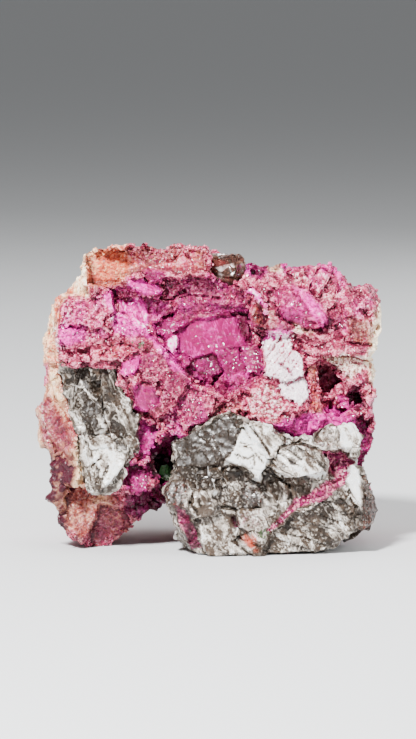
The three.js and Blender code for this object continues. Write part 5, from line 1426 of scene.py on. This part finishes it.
class CALCITE_OT_pink_rock(bpy.types.Operator):
    """Cleaves the pink block into crystals and sugary grains, and grows loose rhombs on it"""

    bl_idname = "calcite.pink_rock"
    bl_label = "Pink Calcite"

    def execute(self, context):
        shape = context.scene.calcite_shape
        rock = fine_copy("pink_calcite", "pink_calcite_rock", shape.fine_grid)
        self.break_up(rock, shape)
        self.dress(rock)
        self.grow_grains(rock, shape.loose_grains)
        green_specks(rock, "green_specks_ridge", SPECKS_ON_RIDGE, 31)
        finish_piece(rock, "Pink calcite", "pink_calcite", sharp=10)
        return {"FINISHED"}

    def break_up(self, rock, shape):
        """Lays the planes of the face, and cleaves the rock at three sizes."""
        chip, grain = shape.chip_size / MM, shape.grain_size / MM
        blocks = (shape.block_size / MM, shape.block_step / MM, *PINK_BLOCKS)
        chips = (chip, CHIP_STEP * chip, *PINK_CHIPS)
        grains = (grain, GRAIN_STEP * grain, *PINK_GRAINS)
        face = to_face(mesh_points(rock.data))
        look_from_front(face)
        face, flat = flatten(face, PINK_REGIONS, front_share(face))
        face = ragged_lips(face)
        front = front_share(face)
        traits = traits_at(face, PINK_REGIONS, PINK_START)
        smooth = np.maximum(traits["smooth"], RIND_SMOOTH * np.minimum(traits["rind"], 1))
        smooth = smooth * front + REAR_SMOOTH * (1 - front)
        points, _ = cleave(to_frame(face), blocks, np.maximum(flat, smooth), 40)
        points, _ = cleave(points, chips, np.maximum(flat * 0.7, smooth), 50)
        face = to_face(points)
        face[:, 2] += line_share(face, CRACKS) + striae(face, PINK_REGIONS, PINK_STRIATIONS)
        points, border = cleave(to_frame(face), grains, smooth, 60)
        place_points(rock.data, points)
        groove = GRAIN_GROOVE * (1 - smooth_step(0, GRAIN_GROOVE_WIDTH, border)) * (1 - smooth)
        place_points(rock.data, points - mesh_normals(rock.data) * groove[:, None])

        face = to_face(points)
        spare = 0.75 * (1 - front_share(face)) + self.hidden_share(face)
        thin_out(rock, shape.rock_triangles, np.clip(spare, 0, 1))

    def hidden_share(self, face):
        """1 on the walls of the seats that the grey masses cover."""
        share = np.zeros(len(face))
        for outline in SEATS:
            inside = outline_distance(outline, face[:, 0], face[:, 1]) < 0
            share = np.where(inside & (face[:, 2] < SEAT_DEPTH), 1.0, share)
        return share

    def dress(self, rock):
        face = to_face(mesh_points(rock.data))
        values = traits_at(face, PINK_REGIONS, PINK_START)
        rear_rind(values, face)
        values["pale"] += line_share(face, PALE_LINES)
        dress(rock.data, values, PINK_TONE_AND_PAINTED_LIGHT, 80)

    def grow_grains(self, rock, count):
        """Rhombs smaller than a millimetre, sunk into the sugary stretches."""
        random = np.random.default_rng(7)
        face = to_face(mesh_points(rock.data))
        values = traits_at(face, PINK_REGIONS, PINK_START)
        bare = np.maximum(0.97 * values["smooth"], 0.7 * np.minimum(values["rind"], 1))
        weights = (0.15 + 0.85 * front_share(face)) * (1 - bare) * (1 - self.hidden_share(face)) + 1e-7
        grains, spots = grow_crystals(rock, "pink_loose_grains", weights, count, LOOSE_GRAINS, random)
        face = to_face(spots)
        values = traits_at(face, PINK_REGIONS, PINK_START)
        rear_rind(values, face)
        values["tone"] = random.random(count)
        *growth, smooth, tone = (np.repeat(value, RHOMB_CORNERS) for value in values.values())
        paint(grains.data, "growth", growth)
        # Loose grains take no painted shade of hollows and half the painted highlight of edges
        paint(grains.data, "finish", [smooth, tone, 0, 0.5])
        finish_piece(grains, "Pink calcite")


class CALCITE_OT_grey_masses(bpy.types.Operator):
    """Gives the two grey masses their cleavage faces, steps and ripples"""

    bl_idname = "calcite.grey_masses"
    bl_label = "Grey Calcite"

    def execute(self, context):
        shape = context.scene.calcite_shape
        for node in ("grey_calcite_right", "grey_calcite_left"):
            mass = fine_copy(node, node + "_mass", shape.grey_grid)
            self.break_up(mass)
            thin_out(mass, shape.grey_triangles)
            self.dress(mass)
            if node == "grey_calcite_right":
                green_specks(mass, "green_specks_grey", SPECKS_ON_GREY, 37)
            finish_piece(mass, "Grey calcite", node, sharp=24)
        return {"FINISHED"}

    def break_up(self, mass):
        """Lays the planes of the face, and cleaves the mass at three sizes."""
        normals = mesh_normals(mass.data)
        points = mesh_points(mass.data) + normals * GREY_SWELL
        toward_viewer = facing_viewer(points, normals)
        face = to_face(points)
        look_from_front(face)
        face, flat = flatten(face, GREY_REGIONS, smooth_step(0.0, 0.3, toward_viewer))
        points, _ = cleave(to_frame(face), GREY_BLOCKS, flat, 91)
        points, _ = cleave(points, GREY_CHIPS, flat, 101)
        face = to_face(points)
        traits = traits_at(face, GREY_REGIONS, GREY_START)
        vein = traits["vein"]
        face[:, 2] += VEIN_DEPTH * vein + self.ripples(face) + line_share(face, GREY_CRACKS)
        face[:, 2] += striae(face, GREY_REGIONS, GREY_STRIATIONS)
        pull = 0.05 + 0.13 * traits["grit"] + 0.6 * vein
        points, _ = cleave(to_frame(face), (*GREY_GRAINS, pull, 0), 0, 111)
        place_points(mass.data, points)

    def ripples(self, face):
        """Curved ripples at the tip of the bright kite, where the calcite broke like glass."""
        x, up = face[:, 0], face[:, 1]
        reach = np.hypot(x - RIPPLE_MIDDLE[0], up - RIPPLE_MIDDLE[1])
        share = region_share(RIPPLE_OUTLINE, 0.8, x, up) * front_share(face)
        return RIPPLE_HEIGHT * share * np.sin(reach * 2 * math.pi / RIPPLE_SPACING)

    def dress(self, mass):
        face = to_face(mesh_points(mass.data))
        values = traits_at(face, GREY_REGIONS, GREY_START)
        white, dark = line_share(face, WHITE_VEINS), np.minimum(3 * line_share(face, GREY_CRACKS), 1)
        values["frost"] += white - 0.6 * dark
        values["smoke"] += 0.6 * dark - 0.5 * white
        dress(mass.data, values, GREY_TONE_AND_PAINTED_LIGHT, 121)


class CALCITE_OT_clear_crystal(bpy.types.Operator):
    """Cleaves the clear brownish crystal in the top notch"""

    bl_idname = "calcite.clear_crystal"
    bl_label = "Clear Crystal"

    def execute(self, context):
        piece = fine_copy("clear_crystal", "clear_notch_crystal", CLEAR_GRID)
        face = to_face(mesh_points(piece.data) + mesh_normals(piece.data) * CLEAR_SWELL)
        look_from_front(face)
        face, flat = flatten(face, CLEAR_FACES, front_share(face))
        points, _ = cleave(to_frame(face), CLEAR_BLOCKS, flat, 101)
        points, _ = cleave(points, CLEAR_CHIPS, flat, 104)
        face = to_face(points)
        face[:, 2] += CLEAR_FOOT_BACK * smooth_step(*CLEAR_FOOT, face[:, 1])
        top = CLEAR_TOP + 0.12 * soft_noise(face, 0.8, 102)
        face[:, 1] = np.where(face[:, 1] > top, top + CLEAR_ABOVE_TOP * (face[:, 1] - top), face[:, 1])
        place_points(piece.data, to_frame(face))
        finish_piece(piece, "Clear calcite", "clear_crystal", sharp=26)
        return {"FINISHED"}


class CALCITE_OT_hollow(bpy.types.Operator):
    """Lines the hollow with small dark red crystals, and sets the green crystal in it"""

    bl_idname = "calcite.hollow"
    bl_label = "Hollow"

    def execute(self, context):
        self.lining(context.scene.calcite_shape.druse_crystals)
        self.green_crystal()
        return {"FINISHED"}

    def lining(self, count):
        random = np.random.default_rng(19)
        lining = fine_copy("hollow_crust", "hollow_druse", LINING_GRID)
        points, _ = cleave(mesh_points(lining.data), LINING_CRYSTALS, 0, 111)
        place_points(lining.data, points)
        home, _, _ = nearest_grain(points, LINING_GRAIN, 112)
        paint(lining.data, "finish", [0, 0.7 * random_for(home, 113), 0])
        even = np.ones(len(points))
        crystals, _ = grow_crystals(lining, "hollow_crystals", even, count, HOLLOW_CRYSTALS, random)
        paint(crystals.data, "finish", [0, np.repeat(random.random(count), RHOMB_CORNERS), 0])
        finish_piece(lining, "Wine druse", "hollow_crust")
        finish_piece(crystals, "Wine druse")

    def green_crystal(self):
        """A dark crystal with a paler foot."""
        green = fine_copy("green_crystal", "green_hollow_crystal", GREEN_GRID)
        points, _ = cleave(mesh_points(green.data), GREEN_FACETS, 0, 121)
        place_points(green.data, points)
        up = to_face(points)[:, 1]
        foot = smooth_step(0.3, 0.0, (up - up.min()) / np.ptp(up))
        paint(green.data, "finish", [0, GREEN_FOOT_PALENESS * foot])
        finish_piece(green, "Green crystal", "green_crystal", sharp=30)


class CALCITE_OT_stage(bpy.types.Operator):
    """Sets the pale floor, the soft lights and the camera"""

    bl_idname = "calcite.stage"
    bl_label = "Stage"

    def execute(self, context):
        studio = context.scene.calcite_studio
        low, high = (Vector(corner) for corner in cad_bounds)
        target = (low + high) / 2
        self.floor()
        self.camera(context, studio, target)
        for name, place, width, power in LIGHTS:
            self.light(name, Vector(place), width, getattr(studio, power), target)
        self.surroundings(context)
        return {"FINISHED"}

    def floor(self):
        mesh = bpy.data.meshes.new("studio_floor")
        work = bmesh.new()
        bmesh.ops.create_circle(work, cap_ends=True, segments=96, radius=FLOOR_RADIUS)
        work.to_mesh(mesh)
        work.free()
        floor = new_object("studio_floor", mesh)
        material, tree, shader = new_material("Pale floor")
        fill(tree, shader, {"Base Color": FLOOR_COLOUR, "Roughness": 0.85})
        mesh.materials.append(material)

    def camera(self, context, studio, target):
        data = bpy.data.cameras.new("Camera")
        camera = new_object("Camera", data)
        back = Vector((0, -math.cos(studio.elevation), math.sin(studio.elevation)))
        lift = Vector((0, math.sin(studio.elevation), math.cos(studio.elevation))) * studio.raise_by
        camera.location = target + lift + back * studio.distance
        camera.rotation_euler = (math.pi / 2 - studio.elevation, 0, 0)
        data.sensor_fit = "VERTICAL"
        data.sensor_height = SENSOR_HEIGHT
        data.lens = SENSOR_HEIGHT * (studio.distance - FACE_AHEAD) / studio.frame_height
        data.clip_start = 0.01
        context.scene.camera = camera

    def light(self, name, place, width, power, target):
        data = bpy.data.lights.new(name, "AREA")
        data.shape = "DISK"
        data.size = width
        data.energy = power
        lamp = new_object(name, data)
        lamp.location = target + place
        lamp.rotation_euler = (-place).to_track_quat("-Z", "Y").to_euler()

    def surroundings(self, context):
        world = context.scene.world or bpy.data.worlds.new("Pale studio")
        context.scene.world = world
        world.use_nodes = True
        background = world.node_tree.nodes["Background"]
        fill(world.node_tree, background, {"Color": SKY_COLOUR, "Strength": SKY_STRENGTH})


class CALCITE_PT_panel(bpy.types.Panel):
    bl_idname = "CALCITE_PT_panel"
    bl_label = "Calcite Specimen"
    bl_space_type = "VIEW_3D"
    bl_region_type = "UI"
    bl_category = "Calcite"

    def draw(self, context):
        for operator in OPERATORS:
            self.layout.operator(operator.bl_idname)
        for name, group in SETTINGS.items():
            box = self.layout.box()
            for setting in group.__annotations__:
                box.prop(getattr(context.scene, name), setting)


OPERATORS = (
    CALCITE_OT_materials,
    CALCITE_OT_pink_rock,
    CALCITE_OT_grey_masses,
    CALCITE_OT_clear_crystal,
    CALCITE_OT_hollow,
    CALCITE_OT_stage,
)
SETTINGS = {
    "calcite_shape": SpecimenShape,
    "calcite_colours": SpecimenColours,
    "calcite_studio": StudioSettings,
}
CLASSES = (*SETTINGS.values(), *OPERATORS, CALCITE_PT_panel)


def register():
    for item in CLASSES:
        bpy.utils.register_class(item)
    for name, group in SETTINGS.items():
        setattr(bpy.types.Scene, name, PointerProperty(type=group))


def unregister():
    for name in SETTINGS:
        delattr(bpy.types.Scene, name)
    for item in reversed(CLASSES):
        bpy.utils.unregister_class(item)


def main():
    register()
    bpy.ops.calcite.materials()
    bpy.ops.calcite.pink_rock()
    bpy.ops.calcite.grey_masses()
    bpy.ops.calcite.clear_crystal()
    bpy.ops.calcite.hollow()
    bpy.ops.calcite.stage()


if __name__ == "__main__":
    main()
